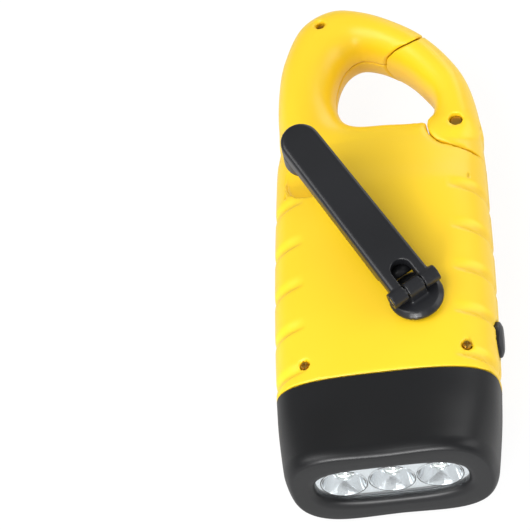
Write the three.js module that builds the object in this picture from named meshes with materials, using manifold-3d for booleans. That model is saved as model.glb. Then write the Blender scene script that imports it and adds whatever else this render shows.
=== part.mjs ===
// Hand crank flashlight with a carabiner loop, a solar panel and a fold-out crank.
// Millimetres, +Z up. It lies solar side down: +Z is the crank side, -Y the lens, +Y the loop.
// The pieces are drawn about the lens rim (y = 0) and the seam between the shells (z = 0).
import * as THREE from "three";
import { mergeVertices } from "three/addons/utils/BufferGeometryUtils.js";
import Module from "manifold-3d";

const wasm = await Module();
wasm.setup();

// Clearances shared by every fit.
const CLEARANCE = 0.3;
const SEAM = 0.2;
const OVERRUN = 1;

// Housing: the head flares from the parting line to the rim, the body runs on to the loop.
const head = {
  length: 25.5,
  rimTaper: 2,
  rimHalfThickness: 19.6,
  rimEdge: 1,
  rimSquareness: 2.75,
  rimDent: 3.4,
  wall: 2.2,
  spigot: 3,
  lip: 1.4,
  floor: 3.4,
};
const body = {
  halfWidth: 29,
  halfThickness: 14.1,
  squareness: 3.1,
  endRoom: 11.5,
  endWall: 5.5,
  wall: 2,
};
const rimHalfWidth = body.halfWidth - head.rimTaper;
const loop = { run: 45.3, halfThickness: 9.8, squareness: 2.3 };
const GRIP = { count: 5, first: 36.8, pitch: 13, radius: 3.6, depth: 1, fall: 5, reach: 58, steps: 3, sides: 6 };

// Lens, reflector and light sources.
const optics = {
  rimFace: 6.4,
  openingHalfThickness: 9.2,
  openingSquareness: 2.9,
  openingBevel: 2,
  recess: 1,
  lensThickness: 0.8,
  seatWidth: 0.9,
  cupThroat: 2.9,
  cupDepth: 7,
  blockDepth: 7.4,
  ledRadius: 2.5,
  ledFlange: 2.8,
  ledLength: 5.6,
  ledFlangeThickness: 0.9,
  boardThickness: 1.2,
};
const openingHalfWidth = rimHalfWidth - optics.rimFace;
const cupShares = { pitch: 0.602, radius: 0.289 };
const cupRadius = openingHalfWidth * cupShares.radius;

// Solar panel on the solar side. Its face is the plane that the flashlight rests on.
const solar = {
  face: 17.2,
  seat: 12.8,
  centreY: 54,
  halfWidth: 17.6,
  halfLength: 24.4,
  corner: 3,
  arch: 1.5,
  frameSide: 5.4,
  frameEnd: 5.1,
  windowShift: 1.5,
  windowCorner: 2,
  ridge: 1.5,
  bevel: 1.6,
  ledge: 1.1,
  glassThickness: 1.2,
  cellThickness: 0.8,
  cellMargin: 0.9,
  wireInset: -5,
};

// Crank: hub, arm and knob. The arm is parked a little off its pocket.
const crank = {
  hubRise: 20.9,
  hubRadius: 7.3,
  hubThickness: 2.2,
  hubEdge: 1.2,
  shaftRadius: 3,
  bearing: 1.8,
  bearingDepth: 3.2,
  lugHalfWidth: 2.4,
  knuckleRadius: 2.3,
  pinRadius: 1.1,
  armLength: 51,
  armAngle: 122.5,
  armDrop: 4,
  armTipHalfWidth: 5.3,
  armHubHalfWidth: 5.9,
  armTop: 1.5,
  armEdge: 0.9,
  forkHalfWidth: 7.2,
  forkWindow: 8.2,
  tipSteps: 12,
  parkedLift: 11,
  knobRadius: 5.2,
  knobLength: 7,
  knobEdge: 0.8,
  rivetRadius: 1.3,
  rivetHead: 2.6,
  rivetHeadThickness: 0.8,
  rivetGrip: 2.4,
  pocketRadius: 7,
  pocketWall: 1.5,
  pocketFloor: 1.5,
  pocketShift: 0.5,
};

// Screws: two by the head, one at the loop tip.
const screw = {
  headRadius: 1.15,
  holeRadius: 1.45,
  shankRadius: 0.85,
  length: 13,
  headThickness: 1.1,
  depth: 2.2,
  loopDepth: 2,
  leftRise: 5.7,
  rightRise: 6.7,
  boss: 2.9,
  facets: 10,
};

// Gate of the loop: pin, heel arc, rounded nose and the tongue it straddles.
const gate = {
  pinEdge: 7.2,
  pinRise: 0.9,
  pinRadius: 1.5,
  heelRadius: 7.9,
  heelSlope: -20.5,
  heelStart: 142,
  heelSteps: 8,
  heelMargin: 4,
  heelReach: 11.5,
  pinInset: 1.6,
  holeRay: 146,
  swing: 25,
  noseSteps: 3,
  noseFacets: 52,
  tongueRadius: 5.4,
  tongueHalf: 3.4,
  neckStart: 186,
  neckEnd: 244,
  springRadius: 3.6,
  springThickness: 1.6,
  springWire: 0.22,
  springTurns: 2,
};

const noseShares = { middle: 1.145, face: 0.962 };

// Power button on the +X side.
const button = {
  y: 39.6,
  halfLength: 5.2,
  halfHeight: 3.6,
  points: 20,
  travel: 1,
  proud: 1.5,
  domeInset: 1.6,
  flange: 0.7,
  flangeThickness: 0.9,
  stemRadius: 0.9,
  switchDepth: 5,
  switchHalf: 4,
  springRadius: 1.9,
  springWire: 0.25,
  springLength: 3.4,
  springTurns: 3,
};

// Gear train: every wheel has the same module, so its centre distance follows from the teeth.
const gears = {
  module: 0.8,
  backlash: 0.3,
  addendumShare: 0.85,
  dedendumShare: 1.2,
  pressureAngle: 20,
  fewTeeth: 6,
  driveTeeth: 30,
  pinionTeeth: 10,
  firstTeeth: 27,
  smallTeeth: 9,
  secondTeeth: 27,
  face: 2.4,
  driveBottom: 6.8,
  level: 3.1,
  axleRadius: 0.8,
  firstAngle: 150,
  secondAngle: 62,
  rotorAngle: 106,
};
const generator = {
  magnetRadius: 6.5,
  magnetThickness: 5,
  coilRadius: 9.6,
  canRadius: 11,
  canWall: 0.8,
  canFloor: 0.8,
  air: 0.5,
};
const plate = { thickness: 1.2, post: 2.2, margin: 3.4, screwLength: 5 };
const battery = { beyond: 7, radius: 6.6, length: 13.5, step: 0.35, stepLength: 0.7, cells: 3, seat: 4 };
const board = {
  x: 1,
  y: 43,
  halfWidth: 13,
  halfLength: 9,
  thickness: 1.2,
  rise: 1.4,
  post: 1.6,
  postInset: 2,
  capRadius: 3,
  capLength: 6,
  capX: 8,
  capY: 39,
};

// Places of the gear axles, chained from the hub by the centre distance of each pair. Places across the
// housing are shares of the body's half width.
const degrees = (angle) => THREE.MathUtils.degToRad(angle);
const acrossShares = { hub: 0.352, battery: 0.545, leftScrew: -0.686, rightScrew: 0.7655, tipScrew: -0.49 };
const pitchRadius = (teeth) => (gears.module * teeth) / 2;
function nextPlace(from, teeth, otherTeeth, angle) {
  const distance = pitchRadius(teeth) + pitchRadius(otherTeeth);
  return [from[0] + distance * Math.cos(degrees(angle)), from[1] + distance * Math.sin(degrees(angle))];
}
const hubPlace = [acrossShares.hub * body.halfWidth, head.length + crank.hubRise];
const firstPlace = nextPlace(hubPlace, gears.driveTeeth, gears.pinionTeeth, gears.firstAngle);
const secondPlace = nextPlace(firstPlace, gears.firstTeeth, gears.smallTeeth, gears.secondAngle);
const rotorPlace = nextPlace(secondPlace, gears.secondTeeth, gears.smallTeeth, gears.rotorAngle);

// The body ends beyond the generator, and the loop follows it.
const bodyEnd = rotorPlace[1] + generator.canRadius + body.endRoom;
const loopTip = bodyEnd + loop.run;
const gatePin = { x: body.halfWidth - gate.pinEdge, y: bodyEnd + gate.pinRise };
const batteryPlace = [acrossShares.battery * body.halfWidth, rotorPlace[1] + battery.beyond];
const tipScrewShare = 0.832;
const bodyScrews = [
  [acrossShares.leftScrew * body.halfWidth, head.length + screw.leftRise],
  [acrossShares.rightScrew * body.halfWidth, head.length + screw.rightRise],
];
const tipScrew = [acrossShares.tipScrew * body.halfWidth, bodyEnd + tipScrewShare * loop.run];
const screwPlaces = [...bodyScrews, tipScrew];

// Posts of the gear plate, as shares of the half width and of the run from the hub to the rotor.
const postShares = [[-0.569, 0.596], [0.6897, 0.466], [-0.2586, -0.2575]];
const postPlaces = postShares.map(([across, along]) => [
  across * body.halfWidth,
  THREE.MathUtils.lerp(hubPlace[1], rotorPlace[1], along),
]);

// Colours of the moulded and metal pieces.
const finish = (color, roughness, metalness = 0) =>
  new THREE.MeshStandardMaterial({ color, roughness, metalness });
const yellow = finish(0xffdb2b, 0.5);
const black = finish(0x2a2b2f, 0.55);
const steel = finish(0xb9bbbe, 0.35, 1);
const chrome = finish(0xdedfe2, 0.12, 1);
const clear = finish(0xe9eef2, 0.08);
const glass = finish(0x3f302e, 0.15);
const silicon = finish(0x2e2224, 0.35);
const nylon = finish(0xe8e6dc, 0.5);
const copper = finish(0xb3622c, 0.4, 0.8);
const green = finish(0x2d6b3c, 0.5);

const flashlight = new THREE.Group();
const FACETS = 12;
const FINE_FACETS = 26;
const RING_POINTS = 28;
const RING_CROWD = 0.15;
const SLIVER = 0.02;

// A closed geometry as a solid.
function solid(geometry) {
  const bare = geometry.clone();
  bare.deleteAttribute("normal");
  bare.deleteAttribute("uv");
  const merged = mergeVertices(bare, 1e-4);
  const mesh = new wasm.Mesh({
    numProp: 3,
    vertProperties: new Float32Array(merged.attributes.position.array),
    triVerts: new Uint32Array(merged.index.array),
  });
  return new wasm.Manifold(mesh);
}

// A solid back as a geometry with flat faces, without the slivers that cuts leave on flat stretches.
function geometryOf(shape) {
  const mesh = shape.asOriginal().simplify(SLIVER).getMesh();
  const geometry = new THREE.BufferGeometry();
  geometry.setAttribute("position", new THREE.BufferAttribute(new Float32Array(mesh.vertProperties), 3));
  geometry.setIndex(new THREE.BufferAttribute(new Uint32Array(mesh.triVerts), 1));
  const flat = geometry.toNonIndexed();
  flat.computeVertexNormals();
  return flat;
}

// Adds one named piece to a group.
function piece(name, shape, material, parent = flashlight) {
  const mesh = new THREE.Mesh(geometryOf(shape), material);
  mesh.name = name;
  parent.add(mesh);
  return mesh;
}

// A round bar along z, from one height to another.
function bar(radius, bottom, top, x = 0, y = 0, facets = FACETS) {
  const shape = new THREE.CylinderGeometry(radius, radius, top - bottom, facets);
  shape.rotateX(Math.PI / 2);
  shape.translate(x, y, (top + bottom) / 2);
  return solid(shape);
}

// A box between two corners.
function block(low, high) {
  const size = high.map((value, axis) => value - low[axis]);
  const shape = new THREE.BoxGeometry(...size);
  shape.translate(...low.map((value, axis) => value + size[axis] / 2));
  return solid(shape);
}

// A flat outline raised from one height to another.
function slab(outline, bottom, top, holes = []) {
  const shape = new THREE.Shape(outline);
  shape.holes = holes.map((hole) => new THREE.Path(hole));
  const raised = new THREE.ExtrudeGeometry(shape, { depth: top - bottom, bevelEnabled: false });
  raised.translate(0, 0, bottom);
  return solid(raised);
}

// A turned shape: its profile is given as radius and height, and closes on the axis.
function turned(profile, x = 0, y = 0, facets = FINE_FACETS) {
  const points = profile.map(([radius, height]) => new THREE.Vector2(radius, height));
  const shape = new THREE.LatheGeometry(points, facets);
  shape.rotateX(Math.PI / 2);
  shape.translate(x, y, 0);
  return upright(solid(shape));
}

// Turns a solid the right way out when its profile ran the other way.
function upright(shape) {
  if (shape.volume() > 0) return shape;
  const mesh = shape.getMesh();
  const triVerts = new Uint32Array(mesh.triVerts).reverse();
  return new wasm.Manifold(new wasm.Mesh({ numProp: 3, vertProperties: mesh.vertProperties, triVerts }));
}

// Joins rings of equal point count into one closed skin. A closed run has no end caps.
function loft(rings, closedRun = false) {
  const count = rings[0].length;
  const points = rings.flat();
  const faces = [];
  const last = closedRun ? rings.length : rings.length - 1;
  for (let i = 0; i < last; i++) {
    const a = i * count;
    const b = ((i + 1) % rings.length) * count;
    for (let j = 0; j < count; j++) {
      const k = (j + 1) % count;
      faces.push(a + j, a + k, b + j, a + k, b + k, b + j);
    }
  }
  if (!closedRun) {
    const start = 0;
    const end = (rings.length - 1) * count;
    for (let j = 1; j < count - 1; j++) {
      faces.push(start, start + j + 1, start + j);
      faces.push(end, end + j, end + j + 1);
    }
  }
  const geometry = new THREE.BufferGeometry();
  geometry.setAttribute("position", new THREE.Float32BufferAttribute(points.flatMap((p) => p.toArray()), 3));
  geometry.setIndex(faces);
  return upright(solid(geometry));
}

// One point of a superellipse with the given half sizes.
function superPoint(angle, halfWidth, halfHeight, squareness) {
  const bend = (value) => Math.sign(value) * Math.abs(value) ** (2 / squareness);
  return [halfWidth * bend(Math.cos(angle)), halfHeight * bend(Math.sin(angle))];
}

// A ring across the housing at y. The dent makes both faces hollow in the middle.
function housingRing({ y, halfWidth, halfThickness, squareness, dent = 0 }, inset = 0) {
  const ring = [];
  for (let i = 0; i < RING_POINTS; i++) {
    const even = (i / RING_POINTS) * 2 * Math.PI;
    const angle = even - RING_CROWD * Math.sin(4 * even);
    const [x, z] = superPoint(angle, halfWidth - inset, halfThickness - inset, squareness);
    const across = x / (halfWidth - inset);
    const hollow = dent * (1 - across ** 2) ** 2 * Math.sign(z);
    ring.push(new THREE.Vector3(x, y, z - hollow));
  }
  return ring;
}

// Head stations: share of the head's length, and how far the section has turned into the parting one.
const headStationShares = [
  { along: 0.05, turn: 0 },
  { along: 0.3, turn: 0.38 },
  { along: 0.65, turn: 0.8 },
  { along: 1, turn: 1 },
];

// The head's section at a share of its length.
function headStation({ along, turn }) {
  const mix = THREE.MathUtils.lerp;
  return {
    y: along * head.length,
    halfWidth: mix(rimHalfWidth, body.halfWidth, turn),
    halfThickness: mix(head.rimHalfThickness, body.halfThickness * partingShare, turn),
    squareness: mix(head.rimSquareness, body.squareness, turn),
    dent: mix(head.rimDent, 0, turn),
  };
}

// Body stations: shares of the run from the parting line to the end, of the half width and half thickness.
const partingShare = 0.98;
const bodyStationShares = [
  { along: 0, width: 1, thickness: partingShare },
  { along: 0.25, width: 1.005, thickness: 1 },
  { along: 0.55, width: 0.995, thickness: 1.01 },
  { along: 0.74, width: 0.98, thickness: 0.985 },
  { along: 0.83, width: 0.975, thickness: 0.88 },
  { along: 0.93, width: 0.965, thickness: 0.76 },
  { along: 1, width: 0.945, thickness: 0.64 },
];

// The body's section at one station.
function bodyStation({ along, width, thickness }) {
  return {
    y: THREE.MathUtils.lerp(head.length + SEAM, bodyEnd, along),
    halfWidth: body.halfWidth * width,
    halfThickness: body.halfThickness * thickness,
    squareness: body.squareness,
  };
}

// Outer form of the head, with a rounded rim edge.
function headForm(inset = 0, from = 0) {
  const stations = headStationShares.map(headStation);
  const rim = headStation({ along: 0, turn: 0 });
  const rings = stations.map((station) => housingRing(station, inset));
  const edge = { ...rim, y: from };
  rings.unshift(housingRing(edge, inset + (inset ? 0 : head.rimEdge)));
  return loft(rings);
}

// Outer or inner form of the body. The inner one starts early and ends short of the loop.
function bodyForm(inset = 0, early = 0, short = 0) {
  const run = bodyEnd - head.length - SEAM;
  const rings = bodyStationShares.map((shares) => {
    const station = bodyStation(shares);
    const y = station.y - early + ((early - short) * (station.y - head.length - SEAM)) / run;
    return housingRing({ ...station, y }, inset);
  });
  return loft(rings);
}

// Loop: matching points of its outer and inner outline, as shares of the body's half width
// and of the run from the body's end to the tip.
const loopOutlineShares = [
  [[0.07, -0.25], [0.1, 0.115]],
  [[-0.6, -0.22], [-0.16, 0.13]],
  [[-0.9, -0.05], [-0.31, 0.185]],
  [[-0.945, 0.18], [-0.39, 0.3]],
  [[-0.94, 0.43], [-0.4, 0.41]],
  [[-0.883, 0.66], [-0.355, 0.53]],
  [[-0.715, 0.9], [-0.275, 0.615]],
  [[-0.42, 1], [-0.155, 0.66]],
  [[-0.09, 0.957], [-0.015, 0.64]],
  [[0.236, 0.845], [0.145, 0.577]],
  [[0.495, 0.715], [0.282, 0.497]],
  [[0.706, 0.55], [0.4, 0.4]],
  [[0.853, 0.375], [0.49, 0.309]],
  [[0.935, 0.152], [0.525, 0.225]],
  [[0.955, -0.07], [0.49, 0.135]],
  [[0.7, -0.23], [0.34, 0.1]],
];
const LOOP_STEPS = 34;
const LOOP_RING_POINTS = 14;

// A smooth closed outline of the loop: which is 0 for the outer one and 1 for the inner one.
function loopOutline(which) {
  const run = loopTip - bodyEnd;
  const points = loopOutlineShares.map((pair) => {
    const [across, along] = pair[which];
    return new THREE.Vector3(across * body.halfWidth, bodyEnd + along * run, 0);
  });
  return new THREE.CatmullRomCurve3(points, true, "catmullrom", 0.5);
}

// The loop's bar: an oval section swept between the two outlines.
function loopForm() {
  const outer = loopOutline(0);
  const inner = loopOutline(1);
  const rings = [];
  for (let i = 0; i < LOOP_STEPS; i++) {
    const a = outer.getPoint(i / LOOP_STEPS);
    const b = inner.getPoint(i / LOOP_STEPS);
    const middle = a.clone().add(b).multiplyScalar(0.5);
    const side = a.clone().sub(b).multiplyScalar(0.5);
    const ring = [];
    for (let j = 0; j < LOOP_RING_POINTS; j++) {
      const angle = (j / LOOP_RING_POINTS) * 2 * Math.PI;
      const [across, up] = superPoint(angle, 1, loop.halfThickness, loop.squareness);
      const point = middle.clone().addScaledVector(side, across);
      point.z = up;
      ring.push(point);
    }
    rings.push(ring);
  }
  return loft(rings, true);
}

// The body's section at any y, between its stations.
function bodySection(y) {
  const stations = bodyStationShares.map(bodyStation);
  const next = Math.max(1, stations.findIndex((station) => station.y >= y));
  const [from, to] = [stations[next - 1], stations[next]];
  const share = (y - from.y) / (to.y - from.y);
  return {
    halfWidth: THREE.MathUtils.lerp(from.halfWidth, to.halfWidth, share),
    halfThickness: THREE.MathUtils.lerp(from.halfThickness, to.halfThickness, share),
  };
}

// One grip groove: a round cutter that follows the section and falls towards both faces.
function gripCutter(low, side) {
  const rings = [];
  for (let i = -GRIP.steps; i <= GRIP.steps; i++) {
    const share = i / GRIP.steps;
    const y = low - GRIP.fall * Math.abs(share);
    const angle = degrees(GRIP.reach) * share;
    const { halfWidth, halfThickness } = bodySection(y);
    const [x, z] = superPoint(angle, halfWidth, halfThickness, body.squareness);
    const normal = new THREE.Vector2(
      (Math.abs(x) / halfWidth) ** (body.squareness - 1) / halfWidth,
      (Math.sign(z) * (Math.abs(z) / halfThickness) ** (body.squareness - 1)) / halfThickness,
    ).normalize();
    const depth = GRIP.depth * (1 - share ** 4) - SEAM * share ** 4;
    const away = GRIP.radius - depth;
    const ring = [];
    for (let j = 0; j < GRIP.sides; j++) {
      const turn = ((j + 0.5) / GRIP.sides) * 2 * Math.PI;
      const out = away + GRIP.radius * Math.cos(turn);
      ring.push(new THREE.Vector3(
        side * (x + normal.x * out), y + GRIP.radius * Math.sin(turn), z + normal.y * out,
      ));
    }
    rings.push(ring);
  }
  return loft(rings);
}

// Grip grooves down both sides.
function gripCutters() {
  const cutters = [];
  for (const side of [-1, 1]) {
    for (let i = 0; i < GRIP.count; i++) cutters.push(gripCutter(GRIP.first + i * GRIP.pitch, side));
  }
  return cutters;
}

// Everything on one side of the seam.
function half(side) {
  const reach = loopTip;
  const near = (side * SEAM) / 2;
  const far = side * reach;
  return block(
    [-reach, -reach, Math.min(near, far)],
    [reach, 2 * reach, Math.max(near, far)],
  );
}

// Heights that the fits follow, above the seam.
const faceTop = body.halfThickness * Math.max(...bodyStationShares.map((shares) => shares.thickness));
const ceiling = faceTop - body.wall;
const hubBottom = faceTop + CLEARANCE;
const hubTop = hubBottom + crank.hubThickness;
const pinHeight = hubTop + CLEARANCE + crank.knuckleRadius;
const armUnder = -crank.armDrop;
const knobEnd = pinHeight + armUnder - crank.knobLength;

// Board heights and posts on the solar side.
const boardBottom = -ceiling + board.rise;
const boardTop = boardBottom + board.thickness;
const boardPosts = [-1, 1].map((end) => {
  const reachX = board.halfWidth - board.postInset;
  const reachY = board.halfLength - board.postInset;
  return [board.x + end * reachX, board.y + end * reachY];
});

// Where the knob lies when the arm is folded flat.
const armTurn = degrees(crank.armAngle);
const pocketReach = crank.armLength + crank.pocketShift;
const pocketX = hubPlace[0] + pocketReach * Math.cos(armTurn);
const pocketY = hubPlace[1] + pocketReach * Math.sin(armTurn);

// A ring of points of a superellipse across y, for the optics in the head.
function opticRing(grow, y) {
  return housingRing({
    y,
    halfWidth: openingHalfWidth + grow,
    halfThickness: optics.openingHalfThickness + grow,
    squareness: optics.openingSquareness,
  });
}

// A plug across y between two depths, wider by one growth at the start and another at the end.
function opticPlug(from, to, grow, growEnd = grow) {
  return loft([opticRing(grow, from), opticRing(growEnd, to)]);
}

// Depths of the optics behind the rim.
const lensFront = optics.recess + CLEARANCE;
const blockFront = lensFront + optics.lensThickness + CLEARANCE;
const boardFront = blockFront + optics.blockDepth + CLEARANCE;
const opticEnd = boardFront + optics.boardThickness + OVERRUN;

// Black head: a flared moulded shell with a tube that holds the optics.
function makeHeadBezel() {
  const inside = headForm(head.wall, head.floor).add(
    loft([bodyStationShares[0], bodyStationShares[0]].map((shares, index) => {
      const station = bodyStation(shares);
      return housingRing({ ...station, y: head.length + (index ? OVERRUN : -SEAM) }, head.wall);
    })),
  );
  const tube = opticPlug(0, opticEnd, optics.seatWidth + CLEARANCE + head.lip);
  const mouth = opticPlug(-OVERRUN, optics.recess, optics.openingBevel, 0);
  const throat = opticPlug(optics.recess - SEAM, opticEnd + OVERRUN, 0);
  const bore = opticPlug(optics.recess, opticEnd + OVERRUN, optics.seatWidth + CLEARANCE);
  return headForm().subtract(inside.subtract(tube)).subtract(mouth).subtract(throat).subtract(bore);
}

// A turned cutter or body whose axis runs along y from the given depth.
function turnedAlongY(profile, x, facets = FACETS) {
  const shape = turned(profile, 0, 0, facets).rotate([-90, 0, 0]);
  return shape.translate([x, 0, 0]);
}

// The three cup places across the head.
const cupPlaces = [-1, 0, 1].map((step) => step * openingHalfWidth * cupShares.pitch);
const CUP_STEPS = 4;

// Chromed block with three parabolic cups.
function makeReflector() {
  let reflector = opticPlug(blockFront, blockFront + optics.blockDepth, optics.seatWidth);
  const profile = [[0, blockFront - OVERRUN], [cupRadius, blockFront - OVERRUN]];
  for (let i = 0; i <= CUP_STEPS; i++) {
    const share = i / CUP_STEPS;
    const radius = THREE.MathUtils.lerp(cupRadius, optics.cupThroat, share);
    const squares = (r) => r ** 2;
    const fall = (squares(cupRadius) - squares(radius)) / (squares(cupRadius) - squares(optics.cupThroat));
    profile.push([radius, blockFront + fall * optics.cupDepth]);
  }
  profile.push([optics.cupThroat, blockFront + optics.blockDepth + OVERRUN]);
  profile.push([0, blockFront + optics.blockDepth + OVERRUN]);
  for (const x of cupPlaces) reflector = reflector.subtract(turnedAlongY(profile, x));
  return reflector;
}

// One light emitting diode with a domed lens, pointing out of its cup.
function makeLed(x) {
  const base = boardFront - SEAM / 2;
  const tip = base - optics.ledLength;
  const dome = tip + optics.ledRadius;
  const profile = [[0, tip]];
  for (const share of [0.35, 0.7, 1]) {
    const angle = (share * Math.PI) / 2;
    profile.push([optics.ledRadius * Math.sin(angle), dome - optics.ledRadius * Math.cos(angle)]);
  }
  profile.push([optics.ledRadius, base - optics.ledFlangeThickness]);
  profile.push([optics.ledFlange, base - optics.ledFlangeThickness]);
  profile.push([optics.ledFlange, base]);
  profile.push([0, base]);
  return turnedAlongY(profile, x, FACETS);
}

piece("head_bezel", makeHeadBezel(), black);
piece("lens_window", opticPlug(lensFront, lensFront + optics.lensThickness, optics.seatWidth), clear);
piece("reflector_block", makeReflector(), chrome);
cupPlaces.forEach((x, index) => piece(`led_${index + 1}`, makeLed(x), clear));
piece("led_board", opticPlug(boardFront, boardFront + optics.boardThickness, optics.seatWidth), green);

// A rounded rectangle, its far edge arched outwards.
function panelOutline(halfWidth, halfLength, corner, arch = 0, shift = 0) {
  const outline = new THREE.Shape();
  const low = solar.centreY + shift - halfLength;
  const high = solar.centreY + shift + halfLength;
  outline.moveTo(-halfWidth + corner, low);
  outline.lineTo(halfWidth - corner, low);
  outline.quadraticCurveTo(halfWidth, low, halfWidth, low + corner);
  outline.lineTo(halfWidth, high - corner - arch);
  outline.quadraticCurveTo(halfWidth, high - arch, halfWidth - corner, high - arch);
  if (arch) outline.quadraticCurveTo(0, high + arch, -halfWidth + corner, high - arch);
  else outline.lineTo(-halfWidth + corner, high - arch);
  outline.quadraticCurveTo(-halfWidth, high - arch, -halfWidth, high - corner - arch);
  outline.lineTo(-halfWidth, low + corner);
  outline.quadraticCurveTo(-halfWidth, low, -halfWidth + corner, low);
  return outline.getPoints(4).slice(0, -1);
}

const windowHalfWidth = solar.halfWidth - solar.frameSide;
const windowHalfLength = solar.halfLength - solar.frameEnd;

// A panel slab between two heights, wider by a growth.
function panelSlab(bottom, top, grow = 0) {
  const points = panelOutline(solar.halfWidth + grow, solar.halfLength + grow, solar.corner + grow, solar.arch);
  return slab(points, bottom, top);
}

// The window's slab between two heights, wider by a growth.
function windowSlab(bottom, top, grow = 0) {
  const corner = solar.windowCorner + Math.max(grow, 0);
  const points = panelOutline(
    windowHalfWidth + grow, windowHalfLength + grow, corner, 0, solar.windowShift,
  );
  return slab(points, bottom, top);
}

// Flared mouth of the window: a skin between the window outline and a wider one at the face.
function windowMouth(inner, outer) {
  const ring = (grow, z) => {
    const corner = solar.windowCorner + grow;
    const points = panelOutline(
      windowHalfWidth + grow, windowHalfLength + grow, corner, 0, solar.windowShift,
    );
    return points.map((point) => new THREE.Vector3(point.x, point.y, z));
  };
  return loft([ring(0, inner), ring(solar.bevel, outer)]);
}

const glassFace = -solar.face + solar.ridge;
const bezelBack = -solar.seat - CLEARANCE;

// Black frame of the solar panel, with a bevel down to the window.
function makeSolarBezel() {
  const ledge = glassFace + CLEARANCE;
  return panelSlab(-solar.face, bezelBack)
    .subtract(windowSlab(-solar.face - OVERRUN, bezelBack + OVERRUN))
    .subtract(windowMouth(glassFace, -solar.face - SEAM))
    .subtract(windowSlab(glassFace, bezelBack + OVERRUN, solar.ledge + CLEARANCE));
}

const glassBottom = glassFace + CLEARANCE;
const glassTop = glassBottom + solar.glassThickness;
piece("solar_bezel", makeSolarBezel(), black);
piece("solar_window", windowSlab(glassBottom, glassTop, solar.ledge), glass);
piece("solar_cell", windowSlab(bezelBack - solar.cellThickness, bezelBack, solar.cellMargin), silicon);

// Heights of the gears, from the drive gear near the crank side down to the rotor's pinion.
const driveHigh = ceiling - crank.bearingDepth - CLEARANCE;
const driveLow = driveHigh - gears.face;
const firstHigh = driveLow - CLEARANCE;
const firstLow = firstHigh - gears.face;
const secondHigh = firstLow - CLEARANCE;
const secondLow = secondHigh - gears.face;
const plateTop = secondLow - CLEARANCE;
const plateBottom = plateTop - plate.thickness;

// The housing's outer form with its grip grooves, its inside, and its spigot in the head.
const gripped = gripCutters().reduce((form, cutter) => form.subtract(cutter), bodyForm());
const outerForm = gripped.add(loopForm());
const cavity = bodyForm(body.wall, OVERRUN, body.endWall);

// The spigot that the head slips over.
function spigotForm() {
  const station = bodyStation(bodyStationShares[0]);
  const sleeve = (inset, from, to) => loft([from, to].map((y) => housingRing({ ...station, y }, inset)));
  const outside = head.wall + CLEARANCE;
  const root = head.length + SEAM;
  const front = root - head.spigot;
  const back = root + head.spigot;
  return sleeve(outside, front, back)
    .add(sleeve(body.wall / 2, root, back))
    .subtract(sleeve(outside + head.lip, front - OVERRUN, back + OVERRUN));
}

// A point at an angle and distance from the gate's pin.
function aboutPin(angle, distance) {
  return new THREE.Vector2(gatePin.x + distance * Math.cos(angle), gatePin.y + distance * Math.sin(angle));
}

// An arc of points about the gate's pin, between two angles in degrees.
function pinArc(from, to, radius) {
  const arc = [];
  for (let i = 0; i <= gate.heelSteps; i++) {
    arc.push(aboutPin(degrees(THREE.MathUtils.lerp(from, to, i / gate.heelSteps)), radius));
  }
  return arc;
}

// What a swinging gate can fill: a round nose, less all that lies below the heel.
function gateSweep(grow) {
  const depth = loop.halfThickness + OVERRUN;
  const profile = [[0, -depth]];
  for (let i = -gate.noseSteps; i <= gate.noseSteps; i++) {
    const share = i / gate.noseSteps;
    const reach = body.halfWidth * THREE.MathUtils.lerp(noseShares.middle, noseShares.face, share ** 2);
    profile.push([reach + grow, share * depth]);
  }
  profile.push([0, depth]);
  const contact = 270 + gate.heelSlope;
  const radius = gate.heelRadius + grow;
  const far = loopTip;
  const slope = degrees(gate.heelSlope);
  const widened = THREE.MathUtils.radToDeg(grow / gate.heelRadius);
  const rest = pinArc(gate.heelStart + widened, contact, radius);
  rest.push(new THREE.Vector2(Math.cos(slope), Math.sin(slope)).multiplyScalar(far).add(rest.at(-1)));
  rest.push(new THREE.Vector2(gatePin.x, gatePin.y - far));
  rest.push(new THREE.Vector2(gatePin.x - far, gatePin.y - far));
  rest.push(aboutPin(degrees(gate.holeRay + widened), far));
  const below = slab(rest, -depth - OVERRUN, depth + OVERRUN);
  return turned(profile, gatePin.x, gatePin.y, gate.noseFacets).subtract(below);
}

// The lug that carries the pin inside the gate's heel, or the room that it needs there.
function tongueForm(grow, from, to, reach) {
  const height = gate.tongueHalf + grow;
  const disc = bar(gate.tongueRadius + grow, -height, height, gatePin.x, gatePin.y);
  const fan = [aboutPin(0, 0), ...pinArc(from, to, reach)];
  return disc.add(slab(fan, -height, height));
}

// Clearance hole of the gate's pin.
const pinHole = bar(gate.pinRadius + CLEARANCE, -2 * loop.halfThickness, 2 * loop.halfThickness, gatePin.x, gatePin.y);
const tongue = tongueForm(0, gate.neckStart, gate.neckEnd, gate.heelRadius + 2 * OVERRUN);
const tongueRoom = tongueForm(
  CLEARANCE, gate.neckStart - gate.swing - gate.heelMargin, gate.neckEnd + gate.heelMargin, 2 * gate.heelRadius,
);
const springSeat = bar(
  gate.springRadius + CLEARANCE, gate.tongueHalf - gate.springThickness - CLEARANCE, loop.halfThickness,
  gatePin.x, gatePin.y,
);

// Top of a screw's head, deep in its hole.
function screwTop(y) {
  return y > bodyEnd ? loop.halfThickness - screw.loopDepth : faceTop - screw.depth;
}

// Counterbored hole of a housing screw.
function screwHole([x, y]) {
  const top = screwTop(y);
  const seat = top - screw.headThickness - CLEARANCE;
  const tip = seat - screw.length - 2 * CLEARANCE;
  return bar(screw.holeRadius, seat, 2 * faceTop, x, y).add(bar(screw.shankRadius + CLEARANCE, tip, seat + SEAM, x, y));
}

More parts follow.
